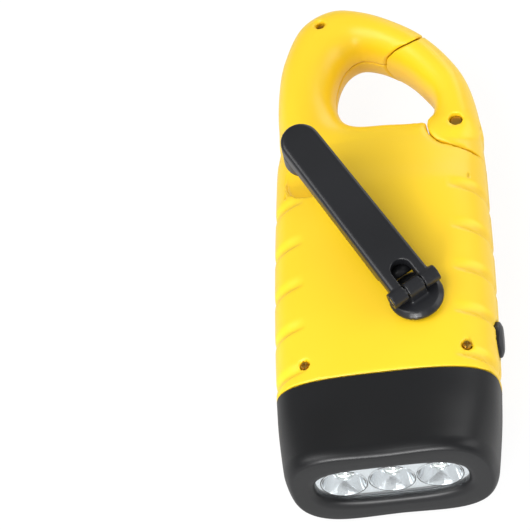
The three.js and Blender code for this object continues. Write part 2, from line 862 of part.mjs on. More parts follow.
// A pan head screw hanging down from the top of its head.
function makeScrew(x, y, top, length) {
  const seat = top - screw.headThickness;
  const crown = screw.headThickness / 2;
  const profile = [
    [0, seat - length], [screw.shankRadius / 2, seat - length], [screw.shankRadius, seat - length + screw.shankRadius],
    [screw.shankRadius, seat], [screw.headRadius, seat], [screw.headRadius, top - crown],
    [screw.headRadius - crown / 2, top], [0, top],
  ];
  const slotHalf = screw.headThickness / 5;
  const reach = 2 * screw.headRadius;
  const slots = block([x - reach, y - slotHalf, top - crown], [x + reach, y + slotHalf, top + OVERRUN])
    .add(block([x - slotHalf, y - reach, top - crown], [x + slotHalf, y + reach, top + OVERRUN]));
  return turned(profile, x, y, screw.facets).subtract(slots);
}

// Oval ring across x for the power button.
function ovalRing(x, grow) {
  const points = [];
  for (let i = 0; i < button.points; i++) {
    const angle = (i / button.points) * 2 * Math.PI;
    const y = button.y + (button.halfLength + grow) * Math.cos(angle);
    points.push(new THREE.Vector3(x, y, (button.halfHeight + grow) * Math.sin(angle)));
  }
  return points;
}

// Oval solid along x between two depths.
const ovalAlongX = (from, to, grow = 0) => loft([ovalRing(from, grow), ovalRing(to, grow)]);

const buttonWall = body.halfWidth - body.wall - CLEARANCE;
const buttonBack = buttonWall - CLEARANCE - button.flangeThickness;
const switchFront = buttonBack - button.travel - CLEARANCE;

// Room behind the gate's heel, where its inner corner swings.
function heelRoom() {
  const from = gate.heelStart - gate.heelMargin;
  const to = gate.holeRay + gate.swing + gate.heelMargin / 2;
  const sector = [...pinArc(from, to, gate.heelReach), ...pinArc(to, from, gate.heelRadius + CLEARANCE - SEAM / 2)];
  return slab(sector, -2 * loop.halfThickness, 2 * loop.halfThickness);
}

// What both shells share: the tray wall, the loop, the tongue and the button's window.
function commonShell() {
  return outerForm
    .subtract(cavity)
    .add(spigotForm())
    .subtract(gateSweep(CLEARANCE))
    .subtract(heelRoom())
    .add(tongue)
    .subtract(pinHole)
    .subtract(springSeat.intersect(tongueRoom))
    .subtract(ovalAlongX(buttonWall - OVERRUN, 2 * body.halfWidth, CLEARANCE));
}
const shared = commonShell();

// Crank side shell: pocket for the knob, bearing for the hub, posts for screws, axles and plate.
function makeCrankSide() {
  const bearing = crank.shaftRadius + CLEARANCE + crank.bearing;
  const adds = [
    bar(crank.pocketRadius + crank.pocketWall, knobEnd - crank.pocketFloor, faceTop, pocketX, pocketY, FINE_FACETS),
    bar(bearing, driveHigh + CLEARANCE, ceiling + SEAM, ...hubPlace),
    bar(crank.bearing, driveHigh + CLEARANCE, ceiling + SEAM, ...firstPlace),
    bar(crank.bearing, firstHigh + CLEARANCE, ceiling + SEAM, ...secondPlace),
    ...bodyScrews.map(([x, y]) => bar(screw.boss, SEAM / 2, ceiling, x, y)),
    ...postPlaces.map(([x, y]) => bar(plate.post, plateTop + CLEARANCE, ceiling, x, y)),
  ];
  const cuts = [
    bar(crank.pocketRadius, knobEnd - CLEARANCE, 2 * faceTop, pocketX, pocketY, FINE_FACETS),
    bar(crank.shaftRadius + CLEARANCE, 0, 2 * faceTop, ...hubPlace),
    bar(gears.axleRadius + CLEARANCE, 0, ceiling - SEAM, ...firstPlace),
    bar(gears.axleRadius + CLEARANCE, 0, ceiling - SEAM, ...secondPlace),
    ...screwPlaces.map(screwHole),
    ...postPlaces.map(([x, y]) => bar(screw.shankRadius + CLEARANCE, 0, plateTop + plate.screwLength + OVERRUN, x, y)),
  ];
  const within = adds.map((add) => add.intersect(bodyForm(body.wall / 2)));
  const grown = within.reduce((all, add) => all.add(add), shared.intersect(half(1)));
  return cuts.reduce((all, cut) => all.subtract(cut), grown);
}

// Solar side shell: seat and wire window of the panel, posts for screws, board and battery.
function makeSolarSide() {
  const floor = -ceiling;
  const adds = [
    ...bodyScrews.map(([x, y]) => bar(screw.boss, floor, -SEAM / 2, x, y)),
    ...boardPosts.map(([x, y]) => bar(board.post, floor - SEAM, boardBottom - CLEARANCE, x, y)),
    bar(battery.seat, -body.halfThickness + body.wall, -battery.length / 2 - CLEARANCE, ...batteryPlace),
  ];
  const cuts = [
    panelSlab(-2 * faceTop, -solar.seat, CLEARANCE),
    windowSlab(-2 * faceTop, 0, solar.wireInset),
    ...screwPlaces.map(screwHole),
  ];
  const within = adds.map((add) => add.intersect(bodyForm(body.wall / 2)));
  const grown = within.reduce((all, add) => all.add(add), shared.intersect(half(-1)));
  return cuts.reduce((all, cut) => all.subtract(cut), grown);
}

piece("crank_side_shell", makeCrankSide(), yellow);
piece("solar_side_shell", makeSolarSide(), yellow);

// Carabiner gate: the loop's oval bar between its heel and nose, split inside for the tongue.
function makeGate() {
  const swept = loopForm().add(gripped).intersect(gateSweep(0));
  return swept.subtract(tongueRoom).subtract(pinHole);
}
piece("carabiner_gate", makeGate(), yellow);

// Pin that the gate swings on.
const pinReach = loop.halfThickness - gate.pinInset;
piece("gate_pin", bar(gate.pinRadius, -pinReach, pinReach, gatePin.x, gatePin.y), steel);

// A wire wound about z, its turns from a formula, with flat ends.
class Coil extends THREE.Curve {
  constructor(radius, height, turns) {
    super();
    Object.assign(this, { radius, height, turns });
  }

  getPoint(share, target = new THREE.Vector3()) {
    const angle = share * this.turns * 2 * Math.PI;
    return target.set(this.radius * Math.cos(angle), this.radius * Math.sin(angle), this.height * share);
  }
}
const COIL_STEPS = 9;
const WIRE_SIDES = 4;

// A coil spring standing on its base along z.
function makeSpring(radius, wire, height, turns) {
  const section = new THREE.Shape();
  for (let i = 0; i < WIRE_SIDES; i++) {
    const angle = (i / WIRE_SIDES) * 2 * Math.PI;
    const [x, y] = [wire * Math.cos(angle), wire * Math.sin(angle)];
    if (i) section.lineTo(x, y);
    else section.moveTo(x, y);
  }
  const path = new Coil(radius, height, turns);
  const options = { steps: Math.round(COIL_STEPS * turns), extrudePath: path, bevelEnabled: false };
  return upright(solid(new THREE.ExtrudeGeometry(section, options)));
}

const gateSpringBase = gate.tongueHalf - gate.springThickness;
const gateSpringMiddle = (gate.springRadius + gate.pinRadius + CLEARANCE) / 2;
const gateSpringRise = gate.springThickness - 2 * gate.springWire;
const gateSpring = makeSpring(gateSpringMiddle, gate.springWire, gateSpringRise, gate.springTurns);
piece("gate_spring", gateSpring.translate([gatePin.x, gatePin.y, gateSpringBase + gate.springWire]), steel);

// Housing screws.
screwPlaces.forEach(([x, y], index) => {
  piece(`housing_screw_${index + 1}`, makeScrew(x, y, screwTop(y), screw.length), steel);
});

// Involute tooth outline of a spur gear, thinned by the backlash.
function gearOutline(teeth, turn) {
  const pitch = pitchRadius(teeth);
  const base = pitch * Math.cos(degrees(gears.pressureAngle));
  const tip = pitch + gears.addendumShare * gears.module;
  const root = pitch - gears.dedendumShare * gears.module;
  const involute = (radius) => {
    const angle = Math.acos(Math.min(1, base / radius));
    return Math.tan(angle) - angle;
  };
  const half = Math.PI / (2 * teeth) - gears.backlash / 2 / pitch;
  const flank = (radius) => half + involute(pitch) - involute(Math.max(radius, base));
  const radii = teeth > gears.fewTeeth ? [root, tip] : [root, pitch, tip];
  const points = [];
  for (let i = 0; i < teeth; i++) {
    const middle = turn + (i / teeth) * 2 * Math.PI;
    const spots = [...radii.map((r) => [r, -flank(r)]), ...radii.toReversed().map((r) => [r, flank(r)])];
    for (const [radius, angle] of spots) {
      points.push(new THREE.Vector2(radius * Math.cos(middle + angle), radius * Math.sin(middle + angle)));
    }
  }
  return points;
}

// A gear of one level about its own axis.
const makeGear = (teeth, low, high, turn = 0) => slab(gearOutline(teeth, turn), low, high);

// The turn that lets a gear's tooth space face a tooth of the gear before it.
function meshTurn(angle, beforeTeeth, beforeTurn, teeth) {
  const line = degrees(angle);
  const share = ((line - beforeTurn) * beforeTeeth) / (2 * Math.PI);
  const phase = share - Math.floor(share);
  return line + Math.PI - ((0.5 - phase) * 2 * Math.PI) / teeth;
}

// Named group at a place, so that a piece is drawn about its own axis.
function groupAt(x, y, z = 0, parent = flashlight) {
  const group = new THREE.Group();
  group.position.set(x, y, z);
  parent.add(group);
  return group;
}

const firstTurn = meshTurn(gears.firstAngle, gears.driveTeeth, 0, gears.pinionTeeth);
const secondTurn = meshTurn(gears.secondAngle, gears.firstTeeth, firstTurn, gears.smallTeeth);
const rotorTurn = meshTurn(gears.rotorAngle, gears.secondTeeth, secondTurn, gears.smallTeeth);
const axleBore = gears.axleRadius + CLEARANCE;

// Gears on their fixed axles.
const driveGear = makeGear(gears.driveTeeth, driveLow, driveHigh)
  .subtract(bar(crank.shaftRadius + SEAM / 2, driveLow - OVERRUN, driveHigh + OVERRUN));
piece("drive_gear", driveGear, nylon, groupAt(...hubPlace));
const firstGear = makeGear(gears.firstTeeth, firstLow, firstHigh, firstTurn)
  .add(makeGear(gears.pinionTeeth, firstHigh - SEAM, driveHigh, firstTurn))
  .subtract(bar(axleBore, firstLow - OVERRUN, driveHigh + OVERRUN));
piece("step_gear_1", firstGear, nylon, groupAt(...firstPlace));
const secondGear = makeGear(gears.secondTeeth, secondLow, secondHigh, secondTurn)
  .add(makeGear(gears.smallTeeth, secondHigh - SEAM, firstHigh, secondTurn))
  .subtract(bar(axleBore, secondLow - OVERRUN, firstHigh + OVERRUN));
piece("step_gear_2", secondGear, nylon, groupAt(...secondPlace));
const axleTop = ceiling - SEAM - CLEARANCE;
piece("gear_axle_1", bar(gears.axleRadius, plateTop + CLEARANCE, axleTop, 0, 0, FACETS / 2), steel, groupAt(...firstPlace));
piece("gear_axle_2", bar(gears.axleRadius, plateTop + CLEARANCE, axleTop, 0, 0, FACETS / 2), steel, groupAt(...secondPlace));

// Generator: a magnet rotor with its pinion, a wound coil round it and a steel can.
const magnetTop = plateBottom - CLEARANCE - generator.canFloor;
const magnetBottom = magnetTop - generator.magnetThickness;
const canBottom = magnetBottom - CLEARANCE - generator.canFloor;
const rotor = makeGear(gears.smallTeeth, secondLow, secondHigh, rotorTurn)
  .add(bar(gears.axleRadius, magnetTop - SEAM, secondLow + SEAM, 0, 0, FACETS / 2))
  .add(bar(generator.magnetRadius, magnetBottom, magnetTop));
piece("generator_rotor", rotor, steel, groupAt(...rotorPlace));
const coilInside = generator.magnetRadius + generator.air;
const coil = bar(generator.coilRadius, magnetBottom + CLEARANCE, magnetTop)
  .subtract(bar(coilInside, magnetBottom - OVERRUN, magnetTop + OVERRUN));
piece("generator_coil", coil, copper, groupAt(...rotorPlace));
const can = bar(generator.canRadius, canBottom, plateBottom - CLEARANCE)
  .subtract(bar(generator.coilRadius + CLEARANCE, magnetBottom - CLEARANCE, plateBottom + OVERRUN));
piece("generator_can", can, steel, groupAt(...rotorPlace));

// Plate that carries the axles and the generator, with rounded lobes at its screws.
function makeGearPlate() {
  const [left, right, front] = postPlaces;
  const lobes = [left, front, hubPlace, right, rotorPlace];
  const pads = lobes.map(([x, y]) => bar(plate.margin, plateBottom, plateTop, x, y));
  const web = slab(lobes.map(([x, y]) => new THREE.Vector2(x, y)), plateBottom, plateTop);
  const canPad = bar(generator.canRadius, plateBottom, plateTop, ...rotorPlace);
  let made = pads.reduce((all, pad) => all.add(pad), web.add(canPad));
  for (const [x, y] of postPlaces) {
    made = made.subtract(bar(screw.shankRadius + CLEARANCE, plateBottom - OVERRUN, plateTop + OVERRUN, x, y));
  }
  return made.subtract(bar(axleBore, plateBottom - OVERRUN, plateTop + OVERRUN, ...rotorPlace));
}
piece("gear_plate", makeGearPlate(), steel);

postPlaces.forEach(([x, y], index) => {
  const top = plateBottom - CLEARANCE;
  const hung = makeScrew(0, 0, 0, plate.screwLength).rotate([180, 0, 0]);
  piece(`plate_screw_${index + 1}`, hung.translate([x, y, top - screw.headThickness]), steel);
});

// Crank hub: a disc on the crank side with a lug for the arm and a shaft down to the drive gear.
const spin = groupAt(...hubPlace);
spin.rotation.z = armTurn;
function makeHub() {
  const lug = crank.lugHalfWidth;
  const edge = crank.hubEdge;
  const disc = turned([
    [0, hubBottom], [crank.hubRadius, hubBottom], [crank.hubRadius, hubTop - edge],
    [crank.hubRadius - edge, hubTop], [0, hubTop],
  ]);
  const barrel = bar(crank.knuckleRadius, -lug, lug, 0, 0, FACETS).rotate([90, 0, 0]).translate([0, 0, pinHeight]);
  const foot = block([-crank.knuckleRadius, -lug, hubTop - edge], [crank.knuckleRadius, lug, pinHeight]);
  const shaft = bar(crank.shaftRadius, driveLow, hubTop - edge);
  const pinBore = bar(crank.pinRadius + SEAM / 2, -2 * lug, 2 * lug).rotate([90, 0, 0]).translate([0, 0, pinHeight]);
  const screwBore = bar(screw.shankRadius + CLEARANCE, driveLow - OVERRUN, driveHigh);
  return disc.add(barrel).add(foot).add(shaft).subtract(pinBore).subtract(screwBore);
}
piece("crank_hub", makeHub(), black, spin);
const hubScrewSeat = driveLow - CLEARANCE;
const hubScrew = makeScrew(0, 0, 0, gears.face / 2).rotate([180, 0, 0]).translate([0, 0, hubScrewSeat - screw.headThickness]);
const washer = bar(crank.shaftRadius + OVERRUN, hubScrewSeat - screw.headThickness / 2, hubScrewSeat);
piece("hub_screw", hubScrew.add(washer), steel, spin);

// Arm: drawn lying along x from the hinge pin, with its top up, then lifted off its pocket.
const fold = groupAt(0, 0, pinHeight, spin);
fold.rotation.y = -degrees(crank.parkedLift);

// The arm's outline from above: a fork with round knuckles that tapers to a round tip.
function armOutline(inset) {
  const outline = [];
  const tipHalf = crank.armTipHalfWidth - inset;
  const hubHalf = crank.armHubHalfWidth - inset;
  const start = crank.knuckleRadius - crank.armEdge;
  outline.push(new THREE.Vector2(start, -hubHalf));
  for (let i = 0; i <= crank.tipSteps; i++) {
    const angle = THREE.MathUtils.lerp(-90, 90, i / crank.tipSteps);
    outline.push(new THREE.Vector2(
      crank.armLength + tipHalf * Math.cos(degrees(angle)), tipHalf * Math.sin(degrees(angle)),
    ));
  }
  outline.push(new THREE.Vector2(start, hubHalf));
  return outline;
}

// The arm with rounded top edges, a slot for the lug and a step down past the hub's disc.
function makeArm() {
  const edgeRing = (inset, height) => armOutline(inset).map((point) => new THREE.Vector3(point.x, point.y, height));
  const edge = crank.armEdge;
  const slabForm = loft([
    edgeRing(edge / 2, armUnder), edgeRing(0, armUnder + edge / 2), edgeRing(0, crank.armTop - edge),
    edgeRing(edge / 3, crank.armTop - edge / 3), edgeRing(edge, crank.armTop),
  ]);
  const knuckle = bar(crank.knuckleRadius, -crank.forkHalfWidth, crank.forkHalfWidth).rotate([90, 0, 0]);
  const overHub = crank.hubRadius + 2 * CLEARANCE;
  const step = block(
    [-crank.hubRadius, -2 * crank.hubRadius, 2 * armUnder],
    [overHub, 2 * crank.hubRadius, -crank.knuckleRadius],
  );
  const lug = crank.lugHalfWidth + CLEARANCE;
  const slotEnd = crank.forkWindow - lug;
  const slot = block([-crank.hubRadius, -lug, 2 * armUnder], [slotEnd, lug, crank.hubRadius])
    .add(bar(lug, 2 * armUnder, crank.hubRadius, slotEnd, 0, FINE_FACETS));
  const pinBore = bar(crank.pinRadius + SEAM / 2, -crank.hubRadius, crank.hubRadius).rotate([90, 0, 0]);
  const gripTop = armUnder + crank.rivetGrip + CLEARANCE;
  const rivetBore = bar(crank.rivetRadius + SEAM / 2, 2 * armUnder, gripTop, crank.armLength, 0);
  return slabForm.subtract(step).add(knuckle).subtract(slot).subtract(pinBore).subtract(rivetBore);
}
piece("crank_arm", makeArm(), black, fold);
const hingePin = bar(crank.pinRadius, -crank.forkHalfWidth + CLEARANCE, crank.forkHalfWidth - CLEARANCE);
piece("crank_hinge_pin", hingePin.rotate([90, 0, 0]), steel, fold);

// Knob under the arm's tip, turning on a rivet whose head is sunk in its end.
const knobTop = armUnder - CLEARANCE;
const knobLow = armUnder - crank.knobLength;
function makeKnob() {
  const edge = crank.knobEdge;
  const headRoom = crank.rivetHead + CLEARANCE;
  const headTop = knobLow + crank.rivetHeadThickness + 2 * CLEARANCE;
  const bore = crank.rivetRadius + CLEARANCE;
  return turned([
    [headRoom, knobLow], [crank.knobRadius - edge, knobLow], [crank.knobRadius, knobLow + edge],
    [crank.knobRadius, knobTop], [bore, knobTop], [bore, headTop], [headRoom, headTop], [headRoom, knobLow],
  ]);
}
const knobPlace = groupAt(crank.armLength, 0, 0, fold);
piece("crank_knob", makeKnob(), black, knobPlace);
const rivetLow = knobLow + CLEARANCE;
const rivet = turned([
  [0, rivetLow], [crank.rivetHead, rivetLow], [crank.rivetHead, rivetLow + crank.rivetHeadThickness],
  [crank.rivetRadius, rivetLow + crank.rivetHeadThickness], [crank.rivetRadius, armUnder + crank.rivetGrip],
  [0, armUnder + crank.rivetGrip],
], 0, 0, FACETS);
piece("knob_rivet", rivet, steel, knobPlace);

// Power button: an oval dome in the side, with a flange behind the wall and a stem.
function makeButton() {
  const face = body.halfWidth + button.proud;
  const shoulder = body.halfWidth + button.proud / 2;
  const back = buttonBack;
  const front = back + button.flangeThickness;
  const dome = loft([[front - SEAM, 0], [shoulder, 0], [face, -button.domeInset]].map(([x, grow]) => ovalRing(x, grow)));
  const stem = bar(button.stemRadius, back - button.travel, back + SEAM, 0, 0, FACETS / 2)
    .rotate([0, 90, 0])
    .translate([0, button.y, 0]);
  return dome.add(ovalAlongX(back, front, button.flange)).add(stem);
}
piece("power_button", makeButton(), black);
const springCup = button.springRadius + button.springWire + CLEARANCE;
const switchBack = switchFront - button.switchDepth;
const cupDepth = button.springLength - CLEARANCE;
const cup = bar(springCup, switchFront - cupDepth, switchFront + OVERRUN).rotate([0, 90, 0]).translate([0, button.y, 0]);
const switchBody = block(
  [switchBack, button.y - button.switchHalf, -button.switchHalf + CLEARANCE],
  [switchFront, button.y + button.switchHalf, button.switchHalf - CLEARANCE],
).subtract(cup);
piece("switch_body", switchBody, black);
const springFree = button.springLength - 2 * CLEARANCE - 2 * button.springWire;
const buttonSpring = makeSpring(button.springRadius, button.springWire, springFree, button.springTurns)
  .rotate([0, 90, 0])
  .translate([switchFront - cupDepth + CLEARANCE + button.springWire, button.y, 0]);
piece("button_spring", buttonSpring, steel);

// Rechargeable pack of stacked round cells.
function makeBattery() {
  const cell = battery.length / battery.cells;
  const profile = [[0, -battery.length / 2]];
  for (let i = 0; i < battery.cells; i++) {
    const low = -battery.length / 2 + i * cell;
    profile.push([battery.radius - battery.step, low], [battery.radius, low + battery.stepLength]);
    profile.push([battery.radius, low + cell - battery.stepLength]);
  }
  profile.push([battery.radius - battery.step, battery.length / 2], [0, battery.length / 2]);
  return turned(profile, ...batteryPlace, FACETS);
}
piece("battery_pack", makeBattery(), green);

// Control board with its storage capacitor, on two posts of the solar side shell.
const boardForm = block(
  [board.x - board.halfWidth, board.y - board.halfLength, boardBottom],
  [board.x + board.halfWidth, board.y + board.halfLength, boardTop],
);
piece("control_board", boardForm, green);
const capLow = boardTop + CLEARANCE;
const capEdge = board.capRadius / 5;
const capacitor = turned([
  [0, capLow], [board.capRadius, capLow], [board.capRadius, capLow + board.capLength - capEdge],
  [board.capRadius - capEdge, capLow + board.capLength], [0, capLow + board.capLength],
], board.capX, board.capY, FACETS);
piece("storage_capacitor", capacitor, black);

// The origin lies under the middle of the box that holds the whole flashlight.
flashlight.updateMatrixWorld(true);
const bounds = new THREE.Box3().setFromObject(flashlight, true);
const middle = bounds.getCenter(new THREE.Vector3());
flashlight.position.set(-middle.x, -middle.y, -bounds.min.z);

export default flashlight;
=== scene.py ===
"""Looks of a hand crank flashlight with a carabiner loop: finishes, smooth skins, light and camera.

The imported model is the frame. Each piece of the outside gets a smooth skin of its own, and every inner
piece keeps its solid and gets the finish of the real material. Lengths are in millimetres unless a name
ends in _m.
"""

import logging
import math
from bisect import bisect_right
from dataclasses import dataclass, field
from enum import Enum
from typing import Any, Callable, Iterable, Optional, Sequence

import bmesh
import bpy
from mathutils import Matrix, Vector
from mathutils.bvhtree import BVHTree

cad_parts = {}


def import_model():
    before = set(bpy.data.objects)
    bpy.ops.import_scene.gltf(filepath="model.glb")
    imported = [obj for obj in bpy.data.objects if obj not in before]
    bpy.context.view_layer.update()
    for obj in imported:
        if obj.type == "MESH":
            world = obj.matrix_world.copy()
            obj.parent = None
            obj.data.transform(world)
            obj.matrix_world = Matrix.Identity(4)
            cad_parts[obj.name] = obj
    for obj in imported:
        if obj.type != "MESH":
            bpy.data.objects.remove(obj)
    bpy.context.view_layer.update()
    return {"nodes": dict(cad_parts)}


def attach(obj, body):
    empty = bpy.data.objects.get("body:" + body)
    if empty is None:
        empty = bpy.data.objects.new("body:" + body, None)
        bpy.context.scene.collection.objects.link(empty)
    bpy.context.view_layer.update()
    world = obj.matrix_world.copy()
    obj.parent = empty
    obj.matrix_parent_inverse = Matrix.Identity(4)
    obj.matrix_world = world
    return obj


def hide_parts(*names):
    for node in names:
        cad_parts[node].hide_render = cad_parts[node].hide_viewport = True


LOG = logging.getLogger("flashlight")
MM = 0.001
SHARP_DEGREES = 40.0
CORNER_CROWD = 0.15


def linear(hex_colour: str) -> tuple[float, float, float, float]:
    """Turns an sRGB hex colour into linear light.

    Args:
        hex_colour: Six hex digits after a hash sign.

    Returns:
        Red, green, blue and an alpha of one.
    """
    channels = [int(hex_colour[i : i + 2], 16) / 255 for i in (1, 3, 5)]
    light = [c / 12.92 if c <= 0.04045 else ((c + 0.055) / 1.055) ** 2.4 for c in channels]
    return (light[0], light[1], light[2], 1.0)


def add_node(
    tree: bpy.types.NodeTree,
    kind: str,
    inputs: Optional[dict[Any, Any]] = None,
    links: Optional[dict[Any, bpy.types.NodeSocket]] = None,
    **settings: Any,
) -> bpy.types.Node:
    """Adds a node with its settings, socket values and incoming links.

    Args:
        tree: The node tree that it joins.
        kind: Blender's name of the node type.
        inputs: Values of input sockets by name or place.
        links: Output sockets to join to input sockets by name or place.
        settings: Properties of the node.

    Returns:
        The new node.
    """
    node = tree.nodes.new(kind)
    for name, value in settings.items():
        setattr(node, name, value)
    for name, value in (inputs or {}).items():
        node.inputs[name].default_value = value
    for name, source in (links or {}).items():
        tree.links.new(source, node.inputs[name])
    return node


def linked(name: str, data: Any) -> bpy.types.Object:
    """Puts a new object in the scene.

    Args:
        name: Its name.
        data: Its mesh, camera or lamp.

    Returns:
        The object.
    """
    made = bpy.data.objects.new(name, data)
    bpy.context.scene.collection.objects.link(made)
    return made


def blank_material(name: str) -> tuple[bpy.types.Material, bpy.types.NodeTree, bpy.types.Node]:
    """Makes an empty node material.

    Args:
        name: Name of the material.

    Returns:
        The material, its node tree and its output node.
    """
    material = bpy.data.materials.new(name)
    material.use_nodes = True
    tree = material.node_tree
    tree.nodes.clear()
    return material, tree, add_node(tree, "ShaderNodeOutputMaterial")


def marks_of_making(
    tree: bpy.types.NodeTree,
    noise: dict[str, float],
    gloss: tuple[float, float],
    strength: float,
    depth_mm: float,
) -> dict[str, bpy.types.NodeSocket]:
    """Draws the fine marks that a mould or a tool leaves: they vary the gloss and bend the light.

    Args:
        tree: The material's node tree.
        noise: Values of the noise that lays the marks out.
        gloss: Roughness between the marks and on them.
        strength: How closely the light follows the marks.
        depth_mm: Depth of the marks.

    Returns:
        Links for the roughness and the normal of a shader.
    """
    place = add_node(tree, "ShaderNodeTexCoord").outputs["Object"]
    marks = add_node(tree, "ShaderNodeTexNoise", noise, {"Vector": place}).outputs["Fac"]
    span = {"To Min": gloss[0], "To Max": gloss[1]}
    level = add_node(tree, "ShaderNodeMapRange", span, {"Value": marks})
    bump = add_node(
        tree, "ShaderNodeBump", {"Strength": strength, "Distance": depth_mm * MM}, {"Height": marks}
    )
    return {"Roughness": level.outputs["Result"], "Normal": bump.outputs["Normal"]}


@dataclass(frozen=True)
class MouldedPlastic:
    """Injection moulded plastic: an even colour under a fine grain that softens its gloss.

    The grain of the mould is about 0.1 mm, and is drawn coarser so that it shows.
    """

    name: str
    colour: str
    shade: str
    roughness: float
    grain_mm: float = 0.55
    grain_depth_mm: float = 0.012
    flow_mm: float = 38.0
    ior: float = 1.54
    gloss_span: tuple[float, float] = (0.04, 0.05)

    def build(self) -> bpy.types.Material:
        """Makes the material: flow marks vary the colour a little, and the grain its gloss.

        Returns:
            The material.
        """
        material, tree, output = blank_material(self.name)
        place = add_node(tree, "ShaderNodeTexCoord").outputs["Object"]
        flow = add_node(
            tree,
            "ShaderNodeTexNoise",
            {"Scale": 1 / (self.flow_mm * MM), "Detail": 2.0, "Roughness": 0.45},
            {"Vector": place},
        )
        grain = marks_of_making(
            tree,
            {"Scale": 1 / (self.grain_mm * MM), "Detail": 3.0, "Roughness": 0.6},
            (self.roughness - self.gloss_span[0], self.roughness + self.gloss_span[1]),
            0.5,
            self.grain_depth_mm,
        )
        skin = add_node(
            tree,
            "ShaderNodeBsdfPrincipled",
            {"IOR": self.ior},
            {"Base Color": self.tint(tree, flow.outputs["Fac"]), **grain},
        )
        tree.links.new(skin.outputs["BSDF"], output.inputs["Surface"])
        return material

    def tint(self, tree: bpy.types.NodeTree, factor: bpy.types.NodeSocket) -> bpy.types.NodeSocket:
        """Mixes the two tones of the moulding.

        Args:
            tree: The material's node tree.
            factor: Nought where the shade shows, one where the main colour does.

        Returns:
            The colour socket.
        """
        ramp = add_node(tree, "ShaderNodeValToRGB", links={"Fac": factor})
        for stop, place, colour in zip(ramp.color_ramp.elements, (0.3, 0.7), (self.shade, self.colour)):
            stop.position = place
            stop.color = linear(colour)
        return ramp.outputs["Color"]


@dataclass(frozen=True)
class Metal:
    """Turned, drawn or plated metal: a bright colour with fine tool marks in its gloss.

    The marks are a few hundredths of a millimetre apart, and are drawn coarser so that they show.
    """

    name: str
    colour: str
    roughness: float
    mark_mm: float = 0.4
    mark_depth_mm: float = 0.004
    gloss_shares: tuple[float, float] = (0.7, 1.4)

    def build(self) -> bpy.types.Material:
        """Makes the material: tool marks vary its gloss.

        Returns:
            The material.
        """
        material, tree, output = blank_material(self.name)
        low, high = self.gloss_shares
        marks = marks_of_making(
            tree,
            {"Scale": 1 / (self.mark_mm * MM), "Detail": 3.0},
            (self.roughness * low, self.roughness * high),
            0.4,
            self.mark_depth_mm,
        )
        metal = {"Base Color": linear(self.colour), "Metallic": 1.0}
        skin = add_node(tree, "ShaderNodeBsdfPrincipled", metal, marks)
        tree.links.new(skin.outputs["BSDF"], output.inputs["Surface"])
        return material


@dataclass(frozen=True)
class ClearPlastic:
    """Polished clear plastic or epoxy: it lets light through and keeps a crisp gloss."""

    name: str
    colour: str
    ior: float
    roughness: float = 0.03
    wave_mm: float = 9.0
    wave_depth_mm: float = 0.01

    def build(self) -> bpy.types.Material:
        """Makes the material: a faint moulding wave bends its reflections.

        Returns:
            The material.
        """
        material, tree, output = blank_material(self.name)
        place = add_node(tree, "ShaderNodeTexCoord").outputs["Object"]
        wave = add_node(
            tree,
            "ShaderNodeTexNoise",
            {"Scale": 1 / (self.wave_mm * MM), "Detail": 1.0},
            {"Vector": place},
        )
        bump = add_node(
            tree,
            "ShaderNodeBump",
            {"Strength": 0.3, "Distance": self.wave_depth_mm * MM},
            {"Height": wave.outputs["Fac"]},
        )
        glassy = add_node(
            tree,
            "ShaderNodeBsdfPrincipled",
            {
                "Base Color": linear(self.colour),
                "Roughness": self.roughness,
                "IOR": self.ior,
                "Transmission Weight": 1.0,
            },
            {"Normal": bump.outputs["Normal"]},
        )
        # Shadow rays pass straight through, so that the cups behind it are lit as through thin glass.
        clear = add_node(tree, "ShaderNodeBsdfTransparent", {"Color": linear(self.colour)})
        rays = add_node(tree, "ShaderNodeLightPath")
        mixed = add_node(
            tree,
            "ShaderNodeMixShader",
            links={0: rays.outputs["Is Shadow Ray"], 1: glassy.outputs["BSDF"], 2: clear.outputs["BSDF"]},
        )
        tree.links.new(mixed.outputs["Shader"], output.inputs["Surface"])
        return material


class Across(Enum):
    """Which way a sheet's printed or wound lines follow one another."""

    WIDTH = "X"
    HEIGHT = "Z"


@dataclass(frozen=True)
class StripedSheet:
    """Thin sheet with fine lines: scribed solar cells, a printed board or wound enamelled wire."""

    name: str
    colour: str
    line: str
    pitch_mm: float
    line_share: float
    roughness: float
    across: Across = Across.WIDTH
    metallic: float = 0.0
    coat: float = 0.0

    def build(self) -> bpy.types.Material:
        """Makes the material: lines at a real pitch over the sheet's own colour.

        Returns:
            The material.
        """
        material, tree, output = blank_material(self.name)
        place = add_node(tree, "ShaderNodeTexCoord").outputs["Object"]
        axes = add_node(tree, "ShaderNodeSeparateXYZ", links={"Vector": place})
        turns = add_node(
            tree,
            "ShaderNodeMath",
            {1: self.pitch_mm * MM},
            {0: axes.outputs[self.across.value]},
            operation="DIVIDE",
        )
        part = add_node(tree, "ShaderNodeMath", links={0: turns.outputs[0]}, operation="FRACT")
        edge = add_node(
            tree, "ShaderNodeMath", {1: self.line_share}, {0: part.outputs[0]}, operation="LESS_THAN"
        )
        ramp = add_node(tree, "ShaderNodeValToRGB", links={"Fac": edge.outputs[0]})
        for stop, colour in zip(ramp.color_ramp.elements, (self.colour, self.line)):
            stop.color = linear(colour)
        skin = add_node(
            tree,
            "ShaderNodeBsdfPrincipled",
            {"Metallic": self.metallic, "Roughness": self.roughness, "Coat Weight": self.coat},
            {"Base Color": ramp.outputs["Color"]},
        )
        tree.links.new(skin.outputs["BSDF"], output.inputs["Surface"])
        return material


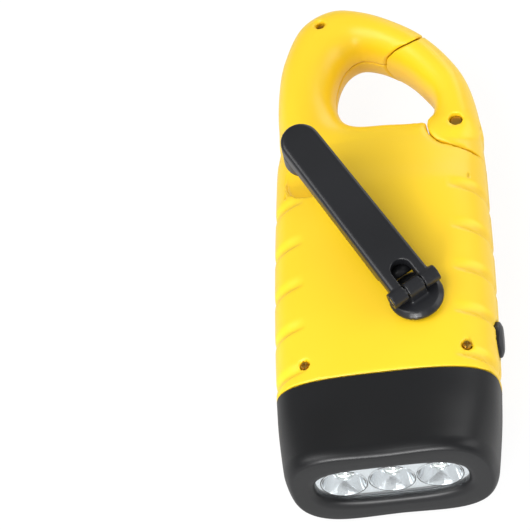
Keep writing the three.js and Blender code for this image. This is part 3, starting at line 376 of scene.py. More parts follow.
class Finish(Enum):
    """Every finish of the flashlight, by the real material and how its surface was made."""

    # ABS from a polished mould: a strong warm yellow with a soft sheen.
    YELLOW_ABS = MouldedPlastic("yellow moulded ABS", "#ffd624", "#fdd01c", 0.36)
    # ABS from a spark-eroded mould: almost no sheen, and a cool dark grey where light grazes it.
    BLACK_ABS = MouldedPlastic("black textured ABS", "#111215", "#0e0f11", 0.4, ior=1.5)
    # Moulded nylon of the crank: satin, a little bluer and lighter than the head.
    BLACK_NYLON = MouldedPlastic("black satin nylon", "#232428", "#18191c", 0.34, grain_mm=0.7, ior=1.53)
    # Moulded nylon of the gears, left undyed: milky and matte.
    NATURAL_NYLON = MouldedPlastic("natural nylon", "#e9e4d4", "#e2dcc9", 0.5, ior=1.53)
    # Polycarbonate metallised in a vacuum: a mirror with a faint haze.
    REFLECTOR = Metal("vacuum metallised reflector", "#eceef0", 0.07, mark_mm=3.0)
    # Zinc plated steel, drawn or stamped: pale grey with fine marks.
    STEEL = Metal("zinc plated steel", "#b9bbbf", 0.32)
    # Steel with a yellow passivation: dark and brassy in the depth of its bore.
    SCREW_STEEL = Metal("passivated screw steel", "#c9a04a", 0.35)
    # Polycarbonate from a polished mould: all but unseen, save for a crisp gloss.
    CLEAR_PC = ClearPlastic("clear polycarbonate", "#f7fafb", 1.585)
    # Cast epoxy of the diodes: clear, with a gloss a little softer than the window's.
    LED_EPOXY = ClearPlastic("clear LED epoxy", "#f4f5f2", 1.5, roughness=0.06)
    # Float glass over the solar cells, tinted brown: it dims what lies under it.
    SOLAR_GLASS = ClearPlastic("tinted panel glass", "#a99a96", 1.52, roughness=0.05)
    # Thin film silicon, scribed by laser: brown black with fine lines.
    SOLAR_CELL = StripedSheet("thin film silicon", "#4b3a38", "#58474a", 5.2, 0.035, 0.3, coat=0.3)
    # Enamelled copper wire, wound in layers: a warm metal, striped turn by turn.
    COPPER = StripedSheet(
        "enamelled copper winding", "#a4572a", "#7a3d1c", 0.45, 0.3, 0.35, Across.HEIGHT, metallic=0.9
    )
    # Glass epoxy laminate under a printed solder mask: green with paler tracks, half glossy.
    LAMINATE = StripedSheet("green solder mask laminate", "#23623a", "#2f7a49", 2.54, 0.2, 0.45, coat=0.2)
    # The same laminate under the diodes, its mask white: it throws light forward through their epoxy.
    WHITE_LAMINATE = MouldedPlastic("white solder mask laminate", "#eceeea", "#e2e5e0", 0.4)
    # Shrunk sleeves of the cells and the capacitor: smooth and taut, with a clear gloss.
    GREEN_SLEEVE = MouldedPlastic("green shrink sleeve", "#2c7a44", "#276c3c", 0.3)
    DARK_SLEEVE = MouldedPlastic("dark shrink sleeve", "#23242c", "#1e1f26", 0.3)

    def material(self) -> bpy.types.Material:
        """Gives this finish's material, made at its first use."""
        found = bpy.data.materials.get(self.value.name)
        return found if found else self.value.build()


Ring = list[Vector]


def box_of(points: Iterable[Any]) -> tuple[Vector, Vector]:
    """Finds the box that holds a mesh's points.

    Args:
        points: Mesh vertices.

    Returns:
        Its lowest and highest corner.
    """
    spots = [point.co for point in points]
    return (
        Vector(min(spot[axis] for spot in spots) for axis in range(3)),
        Vector(max(spot[axis] for spot in spots) for axis in range(3)),
    )


def kept_in(point: Vector, box: tuple[Vector, Vector]) -> Vector:
    """Moves a point to the nearest spot of a box if it lies outside."""
    low, high = box
    return Vector(min(max(point[axis], low[axis]), high[axis]) for axis in range(3))


def evened(work: bmesh.types.BMesh, points: Sequence[bmesh.types.BMVert], rounds: int) -> None:
    """Moves points half way to the middle of their neighbours, again and again.

    Args:
        work: The mesh in work.
        points: The points that move.
        rounds: How often they move.
    """
    for _ in range(rounds):
        bmesh.ops.smooth_vert(
            work, verts=points, factor=0.5, use_axis_x=True, use_axis_y=True, use_axis_z=True
        )


def finished(work: bmesh.types.BMesh, mesh: bpy.types.Mesh) -> bpy.types.Mesh:
    """Turns faces outward, and smooths a mesh but for its sharp edges.

    Args:
        work: The mesh in work, which is freed.
        mesh: The mesh that takes it over.

    Returns:
        The mesh.
    """
    bmesh.ops.recalc_face_normals(work, faces=work.faces)
    work.to_mesh(mesh)
    work.free()
    mesh.shade_smooth()
    mesh.set_sharp_from_angle(angle=math.radians(SHARP_DEGREES))
    return mesh


def grid_faces(rings: int, count: int, closed: bool = False) -> list[tuple[int, int, int, int]]:
    """Lists the four-sided faces between rings of equal point count.

    Args:
        rings: How many rings there are.
        count: Points of each ring.
        closed: Whether the last ring joins the first.

    Returns:
        The faces as point numbers.
    """
    faces = []
    for i in range(rings if closed else rings - 1):
        here, there = i * count, ((i + 1) % rings) * count
        for j in range(count):
            k = (j + 1) % count
            faces.append((here + j, here + k, there + k, there + j))
    return faces


def lofted(name: str, rings: list[Ring], capped: bool = True) -> bpy.types.Mesh:
    """Joins rings into a smooth skin.

    Args:
        name: Name of the mesh.
        rings: Rings of equal point count.
        capped: Whether its two ends are closed.

    Returns:
        The mesh.
    """
    count = len(rings[0])
    points = [tuple(point) for ring in rings for point in ring]
    last = (len(rings) - 1) * count
    faces: list[tuple[int, ...]] = list(grid_faces(len(rings), count))
    if capped:
        faces.append(tuple(reversed(range(count))))
        faces.append(tuple(last + j for j in range(count)))
    mesh = bpy.data.meshes.new(name)
    mesh.from_pydata(points, [], faces)
    work = bmesh.new()
    work.from_mesh(mesh)
    return finished(work, mesh)


def eased(at: float, places: Sequence[float], values: Sequence[float]) -> float:
    """Reads a smooth curve through a few stations.

    Args:
        at: Where to read.
        places: Places of the stations, rising.
        values: Their values.

    Returns:
        The value there.
    """
    last = len(places) - 1
    i = max(0, min(last - 1, bisect_right(places, at) - 1))
    run = places[i + 1] - places[i]
    t = (at - places[i]) / run

    def slope(k: int) -> float:
        """Reads the curve's slope at a station, from the stations beside it."""
        low, high = max(0, k - 1), min(last, k + 1)
        return (values[high] - values[low]) / (places[high] - places[low]) * run

    rise = values[i + 1] - values[i]
    start, stop = slope(i), slope(i + 1)
    return values[i] + t * start + t * t * (3 * rise - 2 * start - stop) + t**3 * (start + stop - 2 * rise)


def super_point(
    angle: float, half_width: float, half_height: float, squareness: float
) -> tuple[float, float]:
    """Gives one point of a superellipse.

    Args:
        angle: Its angle in radians.
        half_width: Half of the width.
        half_height: Half of the height.
        squareness: Two for an ellipse, more for a squarer form.

    Returns:
        The point.
    """
    across, up = math.cos(angle), math.sin(angle)
    power = 2 / squareness
    return (
        half_width * math.copysign(abs(across) ** power, across),
        half_height * math.copysign(abs(up) ** power, up),
    )


def ramp_between(value: float, start: float, stop: float) -> float:
    """Rises smoothly from nought to one between two values."""
    share = min(1.0, max(0.0, (value - start) / (stop - start)))
    return share * share * (3 - 2 * share)


def spread(i: int, count: int) -> float:
    """Gives a point's angle on a squarish outline, with more points toward its corners."""
    even = i / count * 2 * math.pi
    return even - CORNER_CROWD * math.sin(4 * even)


@dataclass(frozen=True)
class HousingForm:
    """The designed outer form of head, body and loop, by the same stations and shares as the solids."""

    head_length: float = 25.5
    rim_half_width: float = 27.0
    rim_half_thickness: float = 19.6
    rim_squareness: float = 2.75
    rim_dent: float = 3.4
    seam: float = 0.2
    half_width: float = 29.0
    half_thickness: float = 14.1
    squareness: float = 3.1
    end: float = 103.457
    parting_share: float = 0.98
    loop_run: float = 45.3
    loop_half_thickness: float = 9.8
    loop_squareness: float = 2.3
    around: int = 160
    steps: int = 120
    # Along the head: the place, and how far the rim's section has turned into the body's.
    head_shares: tuple[tuple[float, float], ...] = ((0.05, 0.0), (0.3, 0.38), (0.65, 0.8), (1.0, 1.0))
    # Along the body: the place, the width and the thickness.
    body_shares: tuple[tuple[float, float, float], ...] = (
        (0.0, 1.0, 0.98),
        (0.25, 1.005, 1.0),
        (0.55, 0.995, 1.01),
        (0.74, 0.98, 0.985),
        (0.83, 0.975, 0.88),
        (0.93, 0.965, 0.76),
        (1.0, 0.945, 0.64),
    )
    # Round the loop: across and along for its outer outline, then the same for its inner one.
    loop_shares: tuple[tuple[float, float, float, float], ...] = (
        (0.07, -0.25, 0.1, 0.115),
        (-0.6, -0.22, -0.16, 0.13),
        (-0.9, -0.05, -0.31, 0.185),
        (-0.945, 0.18, -0.39, 0.3),
        (-0.94, 0.43, -0.4, 0.41),
        (-0.883, 0.66, -0.355, 0.53),
        (-0.715, 0.9, -0.275, 0.615),
        (-0.42, 1.0, -0.155, 0.66),
        (-0.09, 0.957, -0.015, 0.64),
        (0.236, 0.845, 0.145, 0.577),
        (0.495, 0.715, 0.282, 0.497),
        (0.706, 0.55, 0.4, 0.4),
        (0.853, 0.375, 0.49, 0.309),
        (0.935, 0.152, 0.525, 0.225),
        (0.955, -0.07, 0.49, 0.135),
        (0.7, -0.23, 0.34, 0.1),
    )

    def section(self, y: float, width: float, height: float, squareness: float, dent: float = 0.0) -> Ring:
        """Draws one section across the housing.

        Args:
            y: Its distance from the rim.
            width: Half of its width.
            height: Half of its thickness.
            squareness: How square it is.
            dent: How far its two faces are hollowed in the middle.

        Returns:
            The section's points.
        """
        ring = []
        for i in range(self.around):
            x, z = super_point(spread(i, self.around), width, height, squareness)
            hollow = math.copysign(dent * (1 - (x / width) ** 2) ** 2, z)
            ring.append(Vector((x, y, z - hollow)))
        return ring

    def head(self) -> tuple[list[Ring], bool]:
        """Draws the head as rings from the rim to the parting line.

        Returns:
            The rings, and whether the last one joins the first.
        """
        places = [along * self.head_length for along, _ in self.head_shares]
        turns = [turn for _, turn in self.head_shares]
        parting = self.half_thickness * self.parting_share
        rings = []
        for i in range(self.steps + 1):
            y = places[0] + (places[-1] - places[0]) * i / self.steps
            turn = eased(y, places, turns)
            rings.append(
                self.section(
                    y,
                    self.rim_half_width + (self.half_width - self.rim_half_width) * turn,
                    self.rim_half_thickness + (parting - self.rim_half_thickness) * turn,
                    self.rim_squareness + (self.squareness - self.rim_squareness) * turn,
                    self.rim_dent * (1 - turn),
                )
            )
        return rings, False

    def trunk(self) -> tuple[list[Ring], bool]:
        """Draws the body as rings from the parting line to its end.

        Returns:
            The rings, and whether the last one joins the first.
        """
        start = self.head_length + self.seam
        places = [start + (self.end - start) * along for along, _, _ in self.body_shares]
        widths = [self.half_width * width for _, width, _ in self.body_shares]
        heights = [self.half_thickness * height for _, _, height in self.body_shares]
        rings = []
        for i in range(self.steps + 1):
            y = start + (self.end - start) * i / self.steps
            half_width, half_height = eased(y, places, widths), eased(y, places, heights)
            rings.append(self.section(y, half_width, half_height, self.squareness))
        return rings, False

    def loop_spot(self, share: float, first: int) -> Vector:
        """Reads the loop's outer or inner outline, a closed smooth curve through its points.

        Args:
            share: How far round, from 0 to 1.
            first: Place of the outline's two numbers among the shares.

        Returns:
            The spot on the mid plane.
        """
        count = len(self.loop_shares)
        place = share * count
        i, t = int(place), place - int(place)
        spots = []
        for k in range(i - 1, i + 3):
            pair = self.loop_shares[k % count][first : first + 2]
            spots.append(Vector((pair[0] * self.half_width, self.end + pair[1] * self.loop_run, 0.0)))
        before, here, there, after = spots
        start, stop = (there - before) / 2, (after - here) / 2
        rise = there - here
        return here + start * t + (3 * rise - 2 * start - stop) * t**2 + (start + stop - 2 * rise) * t**3

    def loop(self) -> tuple[list[Ring], bool]:
        """Draws the loop's oval bar as a closed run of rings.

        Returns:
            The rings, and whether the last one joins the first.
        """
        rings = []
        for i in range(2 * self.steps):
            outer = self.loop_spot(i / (2 * self.steps), 0)
            inner = self.loop_spot(i / (2 * self.steps), 2)
            middle, side = (outer + inner) / 2, (outer - inner) / 2
            ring = []
            for j in range(self.around // 2):
                angle = j / (self.around // 2) * 2 * math.pi
                across, up = super_point(angle, 1.0, self.loop_half_thickness, self.loop_squareness)
                ring.append(middle + side * across + Vector((0.0, 0.0, up)))
            rings.append(ring)
        return rings, True


@dataclass(frozen=True)
class Moulding:
    """How a skin is drawn over its solid: even small faces, rounded edges, and the designed form.

    The solid's copy is remeshed at the grain, and its edges are rounded by a few rounds of evening. Points
    within reach of the designed form that face along it are laid on it, so that round stretches are truly
    round. Where two forms meet at an angle, points within the blend are evened into a soft hollow.
    """

    grain_mm: float = 0.45
    rounds: int = 3
    forms: tuple[Callable[[HousingForm], tuple[list[Ring], bool]], ...] = ()
    reach_mm: float = 0.45
    blend_mm: float = 2.2
    blend_rounds: int = 30
    along: float = 0.93
    same_way: float = 0.995
    slim_mm: float = 0.0

    def surfaces(self, origin: Vector) -> list[BVHTree]:
        """Builds the designed forms in the frame of the model.

        Args:
            origin: Where the drawing frame lies, in metres.

        Returns:
            One search tree for each form.
        """
        trees = []
        for draw in self.forms:
            rings, closed = draw(HousingForm())
            points = [origin + point * MM for ring in rings for point in ring]
            trees.append(BVHTree.FromPolygons(points, grid_faces(len(rings), len(rings[0]), closed)))
        return trees

    def remeshed(self, node: bpy.types.Object) -> bpy.types.Mesh:
        """Copies a solid's mesh with even small faces.

        Args:
            node: The solid.

        Returns:
            The new mesh.
        """
        copy = linked("moulding in work", node.data.copy())
        even = copy.modifiers.new("even faces", "REMESH")
        even.mode = "VOXEL"
        even.voxel_size = self.grain_mm * MM
        graph = bpy.context.evaluated_depsgraph_get()
        mesh = bpy.data.meshes.new_from_object(copy.evaluated_get(graph))
        bpy.data.objects.remove(copy)
        return mesh

    def shape(self, node: bpy.types.Object, origin: Vector) -> bpy.types.Mesh:
        """Makes the skin's mesh, which stays within the solid's box.

        Args:
            node: The solid.
            origin: Where the drawing frame lies, in metres.

        Returns:
            The mesh.
        """
        mesh = self.remeshed(node)
        work = bmesh.new()
        work.from_mesh(mesh)
        evened(work, work.verts, self.rounds)
        work.normal_update()
        self.settle(work, self.surfaces(origin))
        self.carve(work, origin)
        if self.slim_mm:
            work.normal_update()
            for vert in work.verts:
                vert.co -= vert.normal * self.slim_mm * MM
        box = box_of(node.data.vertices)
        for vert in work.verts:
            vert.co = kept_in(vert.co, box)
        work.to_mesh(mesh)
        work.free()
        mesh.shade_smooth()
        return mesh

    def settle(self, work: bmesh.types.BMesh, trees: list[BVHTree]) -> None:
        """Lays points on the designed forms, and rounds the hollow where two forms meet.

        Args:
            work: The skin in work.
            trees: The designed forms.
        """
        hollow = []
        for vert in work.verts:
            found = [tree.find_nearest(vert.co, self.blend_mm * MM) for tree in trees]
            close = [hit for hit in found if hit[0] is not None]
            facing = [hit for hit in close if abs(hit[1].dot(vert.normal)) > self.along]
            on_skin = [hit for hit in facing if hit[3] < self.reach_mm * MM]
            if on_skin:
                vert.co = min(on_skin, key=lambda hit: hit[3])[0]
            touching = any(hit[3] < self.reach_mm * MM for hit in close)
            if touching and len(close) > 1 and close[0][1].dot(close[1][1]) < self.same_way:
                hollow.append(vert)
        if hollow:
            evened(work, hollow, self.blend_rounds)

    def carve(self, work: bmesh.types.BMesh, origin: Vector) -> None:
        """Gives the skin its own relief. A plain skin has none.

        Args:
            work: The skin in work.
            origin: Where the drawing frame lies, in metres.
        """


@dataclass(frozen=True)
class GrippedMoulding(Moulding):
    """A shell's skin, whose sides carry the row of finger grips as overlapping scales."""

    count: int = 5
    first_mm: float = 28.7
    pitch_mm: float = 13.0
    fall_mm: float = 1.8
    fan_degrees: float = 58.0
    depth_mm: float = 1.05
    seam_share: float = 0.45
    step_mm: float = 1.0
    fade_mm: float = 4.2
    side_reach_mm: float = 1.5
    flank_mm: float = 24.5
    # How squarely a point has to face the smooth side before it moves: beyond the flank, and short of it.
    facing: tuple[float, float] = (0.4, 0.75)
    # Shares of the fan: points past the first are left alone, and the grips are at full depth by the second.
    fan_limit: float = 1.05
    full_share: float = 0.35

    def carve(self, work: bmesh.types.BMesh, origin: Vector) -> None:
        """Draws the grips afresh on the sides: a step at each scale's edge that runs out softly.

        Args:
            work: The skin in work.
            origin: Where the drawing frame lies, in metres.
        """
        form = HousingForm()
        tree = self.surfaces(origin)[0]
        last = self.first_mm + self.count * self.pitch_mm
        for vert in work.verts:
            spot = (vert.co - origin) / MM
            on_flank = abs(spot.x) > self.flank_mm
            end = last if on_flank else last - self.pitch_mm + self.fade_mm
            if not self.first_mm - self.pitch_mm < spot.y < end or abs(spot.x) < form.half_width / 2:
                continue
            found, normal, _, _ = tree.find_nearest(vert.co, self.side_reach_mm * MM)
            if found is None or abs(normal.dot(vert.normal)) < self.facing[0 if on_flank else 1]:
                continue
            if normal.x * spot.x < 0:
                normal = -normal
            half = form.squareness / 2
            angle = math.atan2(
                abs(spot.z / form.half_thickness) ** half, min(1.0, abs(spot.x) / form.half_width) ** half
            )
            share = angle / math.radians(self.fan_degrees)
            if share <= self.fan_limit:
                vert.co = found - normal * self.depth_at(spot.y, share) * MM

    def depth_at(self, y: float, share: float) -> float:
        """Reads how deep the grips lie under the smooth side.

        Args:
            y: Distance from the head's rim.
            share: How far up the fan, from the seam to its end.

        Returns:
            The depth.
        """
        fall = 0.0
        for i in range(self.count):
            past = y - (self.first_mm + i * self.pitch_mm - self.fall_mm * (1 - share))
            run_out = 1 - ramp_between(past, self.step_mm, self.fade_mm)
            fall = max(fall, ramp_between(past, 0.0, self.step_mm) * run_out)
        rise = self.seam_share + (1 - self.seam_share) * min(1.0, share / self.full_share)
        return fall * self.depth_mm * rise * (1 - min(1.0, share) ** 4)


@dataclass(frozen=True)
class LippedHead(Moulding):
    """The head's skin, lofted: flared wall, rounded rim, and a lip that steps down to the window."""

    opening_half_width_mm: float = 19.7
    opening_half_height_mm: float = 8.6
    opening_squareness: float = 2.9
    opening_dent_mm: float = 0.4
    wall_mm: float = 1.5
    edge_mm: float = 0.2
    rim_round_mm: float = 1.8
    rim_start_mm: float = 4.0
    rim_depths_mm: tuple[float, ...] = (0.8, 0.4, 0.15, 0.03, 0.0)
    # The lip's profile: shares of the way from the rim's flat to the opening, and depths in millimetres.
    lip: tuple[tuple[float, float], ...] = (
        (0.3, 0.0),
        (0.62, 0.0),
        (0.72, 0.04),
        (0.82, 0.2),
        (0.9, 0.48),
        (0.96, 0.85),
        (0.99, 1.25),
        (1.0, 1.6),
        (1.0, 3.0),
    )

    def shape(self, node: bpy.types.Object, origin: Vector) -> bpy.types.Mesh:
        """Draws the rings from the parting line over the rim to the window's edge.

        Args:
            node: The solid.
            origin: Where the drawing frame lies, in metres.

        Returns:
            The mesh.
        """
        form = HousingForm()
        wall = list(reversed(form.head()[0]))
        parting = [Vector((point.x, form.head_length, point.z)) for point in wall[0]]
        outer = [Vector((point.x, 0.0, point.z)) for point in wall[-1]]
        rings = [self.drawn_in(parting, self.wall_mm), self.drawn_in(parting, self.edge_mm)]
        wall[0] = [Vector((point.x, point.y - self.edge_mm, point.z)) for point in parting]
        rings += [self.drawn_in(ring, self.rounding(ring[0].y)) for ring in wall]
        for depth in self.rim_depths_mm:
            ring = self.drawn_in(outer, self.rounding(depth))
            rings.append([Vector((point.x, depth, point.z)) for point in ring])
        rim = rings[-1]
        window = form.section(
            0.0,
            self.opening_half_width_mm,
            self.opening_half_height_mm,
            self.opening_squareness,
            self.opening_dent_mm,
        )
        for share, depth in self.lip:
            ring = [edge.lerp(inner, share) for edge, inner in zip(rim, window)]
            rings.append([Vector((point.x, depth, point.z)) for point in ring])
        box = box_of(node.data.vertices)
        placed = [[kept_in(origin + point * MM, box) for point in ring] for ring in rings]
        return lofted("lipped head", placed, capped=False)

    def rounding(self, depth: float) -> float:
        """Reads how far the rim's rounded edge is drawn in at a depth."""
        share = max(0.0, 1 - depth / self.rim_start_mm)
        return self.rim_round_mm * (1 - math.sqrt(1 - share**2))

    def drawn_in(self, ring: Ring, inset: float) -> Ring:
        """Draws a ring a little smaller.

        Args:
            ring: The ring.
            inset: How far each side comes in.

        Returns:
            The smaller ring.
        """
        reach = max(point.x for point in ring)
        height = max(point.z for point in ring)
        across, up = 1 - inset / reach, 1 - inset / height
        return [Vector((point.x * across, point.y, point.z * up)) for point in ring]


@dataclass(frozen=True)
class WebbedMoulding(Moulding):
    """The crank arm's skin, with a thin web low in the far part of its slot."""

    hinge_mm: tuple[float, float, float] = (10.208, 46.4, 19.341)
    turn_degrees: float = 122.5
    lift_degrees: float = 11.0
    start_mm: float = 5.0
    stop_mm: float = 8.4
    half_width_mm: float = 2.9
    under_mm: float = -2.25
    thickness_mm: float = 0.5

    def carve(self, work: bmesh.types.BMesh, origin: Vector) -> None:
        """Adds the web, drawn in the arm's own frame at its hinge.

        Args:
            work: The skin in work.
            origin: Where the drawing frame lies, in metres.
        """
        turn = Matrix.Rotation(math.radians(self.turn_degrees), 4, "Z")
        lift = Matrix.Rotation(-math.radians(self.lift_degrees), 4, "Y")
        size = Vector((self.stop_mm - self.start_mm, 2 * self.half_width_mm, self.thickness_mm))
        middle = Vector(((self.start_mm + self.stop_mm) / 2, 0.0, self.under_mm + self.thickness_mm / 2))
        place = Matrix.Translation(origin + Vector(self.hinge_mm) * MM) @ turn @ lift
        place = place @ Matrix.Translation(middle * MM) @ Matrix.Diagonal((*(size * MM), 1.0))
        bmesh.ops.create_cube(work, size=1.0, matrix=place)


SHELL_MOULDING = GrippedMoulding(rounds=2, forms=(HousingForm.trunk, HousingForm.loop))
GATE_MOULDING = Moulding(grain_mm=0.3, forms=(HousingForm.trunk, HousingForm.loop), slim_mm=0.08)
HEAD_MOULDING = LippedHead()
PANEL_MOULDING = Moulding(grain_mm=0.3)
SMALL_MOULDING = Moulding(grain_mm=0.22, rounds=9)
ARM_MOULDING = WebbedMoulding(grain_mm=0.22, rounds=9)


@dataclass
class SubAssembly:
    """A group of pieces on one body, each with a finish: skins for the outside, solids for the inside."""

    body: str
    skins: dict[str, tuple[Finish, str, Moulding]] = field(default_factory=dict)
    solids: dict[str, Finish] = field(default_factory=dict)

    def build(self, nodes: dict[str, bpy.types.Object]) -> list[str]:
        """Builds every skin and dresses every solid.

        Args:
            nodes: The frame's solids by name.

        Returns:
            The names of the pieces that it made or dressed.
        """
        for name, (finish, slot, moulding) in self.skins.items():
            self.show(moulding.shape(nodes[name], drawing_origin(nodes)), name, finish, slot)
        for name, finish in self.solids.items():
            self.dress(nodes[name], finish)
        return [*self.skins, *self.solids]

    def dress(self, piece: bpy.types.Object, finish: Finish) -> None:
        """Gives a piece one finish all over.

        Args:
            piece: The piece.
            finish: Its finish.
        """
        piece.data.materials.clear()
        piece.data.materials.append(finish.material())

    def show(self, mesh: bpy.types.Mesh, name: str, finish: Finish, slot: str) -> None:
        """Puts a skin in the scene in place of its solid.

        Args:
            mesh: The skin's mesh.
            name: The solid's name.
            finish: The skin's finish.
            slot: Not used; the record's material slot.
        """
        skin = linked(f"{name}_skin", mesh)
        self.dress(skin, finish)
        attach(skin, self.body)
        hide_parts(name)


def drawing_origin(nodes: dict[str, bpy.types.Object]) -> Vector:
    """Finds the drawing frame's origin: the middle of the head's rim.

    Args:
        nodes: The frame's solids by name.

    Returns:
        The origin in metres.
    """
    low, high = box_of(nodes["head_bezel"].data.vertices)
    return Vector(((low.x + high.x) / 2, low.y, (low.z + high.z) / 2))


@dataclass
class Housing(SubAssembly):
    """The two yellow shells with the black head, the diodes' board, the screws, and the gate's pin and
    spring.
    """

    body: str = "housing"
    skins: dict[str, tuple[Finish, str, Moulding]] = field(
        default_factory=lambda: {
            "crank_side_shell": (Finish.YELLOW_ABS, "yellow_shell", SHELL_MOULDING),
            "solar_side_shell": (Finish.YELLOW_ABS, "yellow_shell", SHELL_MOULDING),
            "head_bezel": (Finish.BLACK_ABS, "black_trim", HEAD_MOULDING),
        }
    )
    solids: dict[str, Finish] = field(
        default_factory=lambda: {
            "led_board": Finish.WHITE_LAMINATE,
            "housing_screw_1": Finish.SCREW_STEEL,
            "housing_screw_2": Finish.SCREW_STEEL,
            "housing_screw_3": Finish.SCREW_STEEL,
            "gate_pin": Finish.SCREW_STEEL,
            "gate_spring": Finish.STEEL,
        }
    )


@dataclass
class Lights(SubAssembly):
    """Window, chromed cups and three light emitting diodes, all drawn round."""

    body: str = "housing"
    turns: int = 72
    squareness: float = 2.9
    window_mm: float = 0.3
    seat_mm: float = 0.9
    sunk_mm: float = 0.5
    forward_mm: float = 0.1
    cup_share: float = 0.298
    cup_depth_mm: float = 6.0
    throat_mm: float = 2.9
    # The raised ring at a cup's mouth: how far forward and how far in each of its turns lies.
    mouth_ring_mm: tuple[tuple[float, float], ...] = (
        (0.0, 0.0), (0.3, 0.05), (0.35, 0.2), (0.1, 0.3), (0.1, 0.45)
    )
    mouth_edge_mm: float = 0.5
    cup_shares: tuple[float, ...] = (0.06, 0.12, 0.2, 0.3, 0.4, 0.5, 0.6, 0.7, 0.8, 0.9, 1.0)
    barrel_share: float = 2.5 / 2.8
    collar_mm: float = 0.9
    dome_steps: int = 14

    def build(self, nodes: dict[str, bpy.types.Object]) -> list[str]:
        """Builds the optics in place of their solids.

        Args:
            nodes: The frame's solids by name.

        Returns:
            The names of the pieces that it made.
        """
        window, block = nodes["lens_window"], nodes["reflector_block"]
        leds = [name for name in nodes if name.startswith("led_") and name != "led_board"]
        places = [sum(box_of(nodes[name].data.vertices), Vector()) / 2 for name in leds]
        self.show(self.slab(window), "lens_window", Finish.CLEAR_PC, "clear_window")
        self.show(self.cups(block, places), "reflector_block", Finish.REFLECTOR, "reflector_chrome")
        for name, place in zip(leds, places):
            self.show(self.diode(nodes[name], place), name, Finish.LED_EPOXY, "led_epoxy")
        return ["lens_window", "reflector_block", *leds]

    def oval(self, node: bpy.types.Object, y: float, inset: float = 0.0) -> Ring:
        """Draws a solid's oval outline across the head, in metres.

        Args:
            node: The solid.
            y: Depth of the outline.
            inset: How far inside the solid's own outline it runs.

        Returns:
            The outline's points.
        """
        low, high = box_of(node.data.vertices)
        middle = (low + high) / 2
        ring = []
        half = (high - low) / 2
        for i in range(2 * self.turns):
            angle = spread(i, 2 * self.turns)
            x, z = super_point(angle, half.x - inset, half.z - inset, self.squareness)
            ring.append(Vector((middle.x + x, y, middle.z + z)))
        return ring

    def slab(self, node: bpy.types.Object) -> bpy.types.Mesh:
        """Makes the window: a flat slab with softened edges.

        Args:
            node: The window's solid.

        Returns:
            The mesh.
        """
        low, _ = box_of(node.data.vertices)
        low.y += self.sunk_mm * MM
        edge = self.window_mm / 3 * MM
        back = low.y + self.window_mm * MM
        rings = [
            self.oval(node, low.y, edge),
            self.oval(node, low.y + edge),
            self.oval(node, back - edge),
            self.oval(node, back, edge),
        ]
        return lofted("lens window", rings)

    def circle(self, middle: Vector, y: float, radius: float) -> Ring:
        """Draws a circle across y.

        Args:
            middle: Its middle.
            y: Its depth.
            radius: Its radius.

        Returns:
            The circle's points.
        """
        ring = []
        for i in range(self.turns):
            angle = i / self.turns * 2 * math.pi
            across, up = radius * math.cos(angle), radius * math.sin(angle)
            ring.append(Vector((middle.x + across, y, middle.z + up)))
        return ring

    def cups(self, node: bpy.types.Object, places: list[Vector]) -> bpy.types.Mesh:
        """Makes the chromed block: a plate with three smooth cups and a raised ring at each mouth.

        Args:
            node: The block's solid.
            places: The middles of the diodes.

        Returns:
            The mesh.
        """
        low, high = box_of(node.data.vertices)
        low.y -= self.forward_mm * MM
        mouth = self.cup_share * ((high.x - low.x) / 2 - self.seat_mm * MM)
        work = bmesh.new()
        side = self.strip(work, [self.oval(node, low.y), self.oval(node, high.y)])
        rims, backs = [side[0]], [side[-1]]
        for place in places:
            cup = self.strip(work, self.cup_rings(place, low.y, high.y, mouth))
            rims.append(cup[0])
            backs.append(cup[-1])
        for loops in (rims, backs):
            edges = []
            for ring in loops:
                edges += [work.edges.get(pair) for pair in zip(ring, ring[1:] + ring[:1])]
            bmesh.ops.triangle_fill(work, edges=edges, use_beauty=True)
        return finished(work, bpy.data.meshes.new("chromed cups"))

    def cup_rings(self, place: Vector, front: float, back: float, mouth: float) -> list[Ring]:
        """Draws one cup: its raised ring, the parabola down to its throat, and the throat itself.

        Args:
            place: The middle of its diode.
            front: Depth of the plate's face.
            back: Depth of the plate's back.
            mouth: The mouth's radius.

        Returns:
            The cup's rings.
        """
        throat, depth = self.throat_mm * MM, self.cup_depth_mm * MM
        inner = mouth - self.mouth_edge_mm * MM
        rings = []
        for forward, inward in self.mouth_ring_mm:
            rings.append(self.circle(place, front - forward * MM, mouth - inward * MM))
        for share in self.cup_shares:
            radius = inner + (throat - inner) * share
            fall = (inner**2 - radius**2) / (inner**2 - throat**2)
            rings.append(self.circle(place, front + fall * depth, radius))
        rings.append(self.circle(place, back, throat))
        return rings

    def strip(self, work: bmesh.types.BMesh, rings: list[Ring]) -> list[list[bmesh.types.BMVert]]:
        """Adds an open sleeve of four-sided faces.

        Args:
            work: The mesh in work.
            rings: Rings of equal point count.

        Returns:
            The new points, ring by ring.
        """
        made = [[work.verts.new(point) for point in ring] for ring in rings]
        for first, second in zip(made, made[1:]):
            for j in range(len(first)):
                k = (j + 1) % len(first)
                work.faces.new((first[j], first[k], second[k], second[j]))
        return made

    def diode(self, node: bpy.types.Object, middle: Vector) -> bpy.types.Mesh:
        """Makes one diode: a flange, a barrel and a round dome that looks out of its cup.

        Args:
            node: The diode's solid.
            middle: Its middle.

        Returns:
            The mesh.
        """
        low, high = box_of(node.data.vertices)
        low.y -= self.forward_mm * MM
        flange = (high.x - low.x) / 2
        barrel = flange * self.barrel_share
        neck = high.y - self.collar_mm * MM
        rings = []
        for i in range(1, self.dome_steps + 1):
            angle = i / self.dome_steps * math.pi / 2
            y = low.y + barrel * (1 - math.cos(angle))
            rings.append(self.circle(middle, y, barrel * math.sin(angle)))
        for y, radius in ((neck, barrel), (neck, flange), (high.y, flange)):
            rings.append(self.circle(middle, y, radius))
        return lofted("diode", rings)


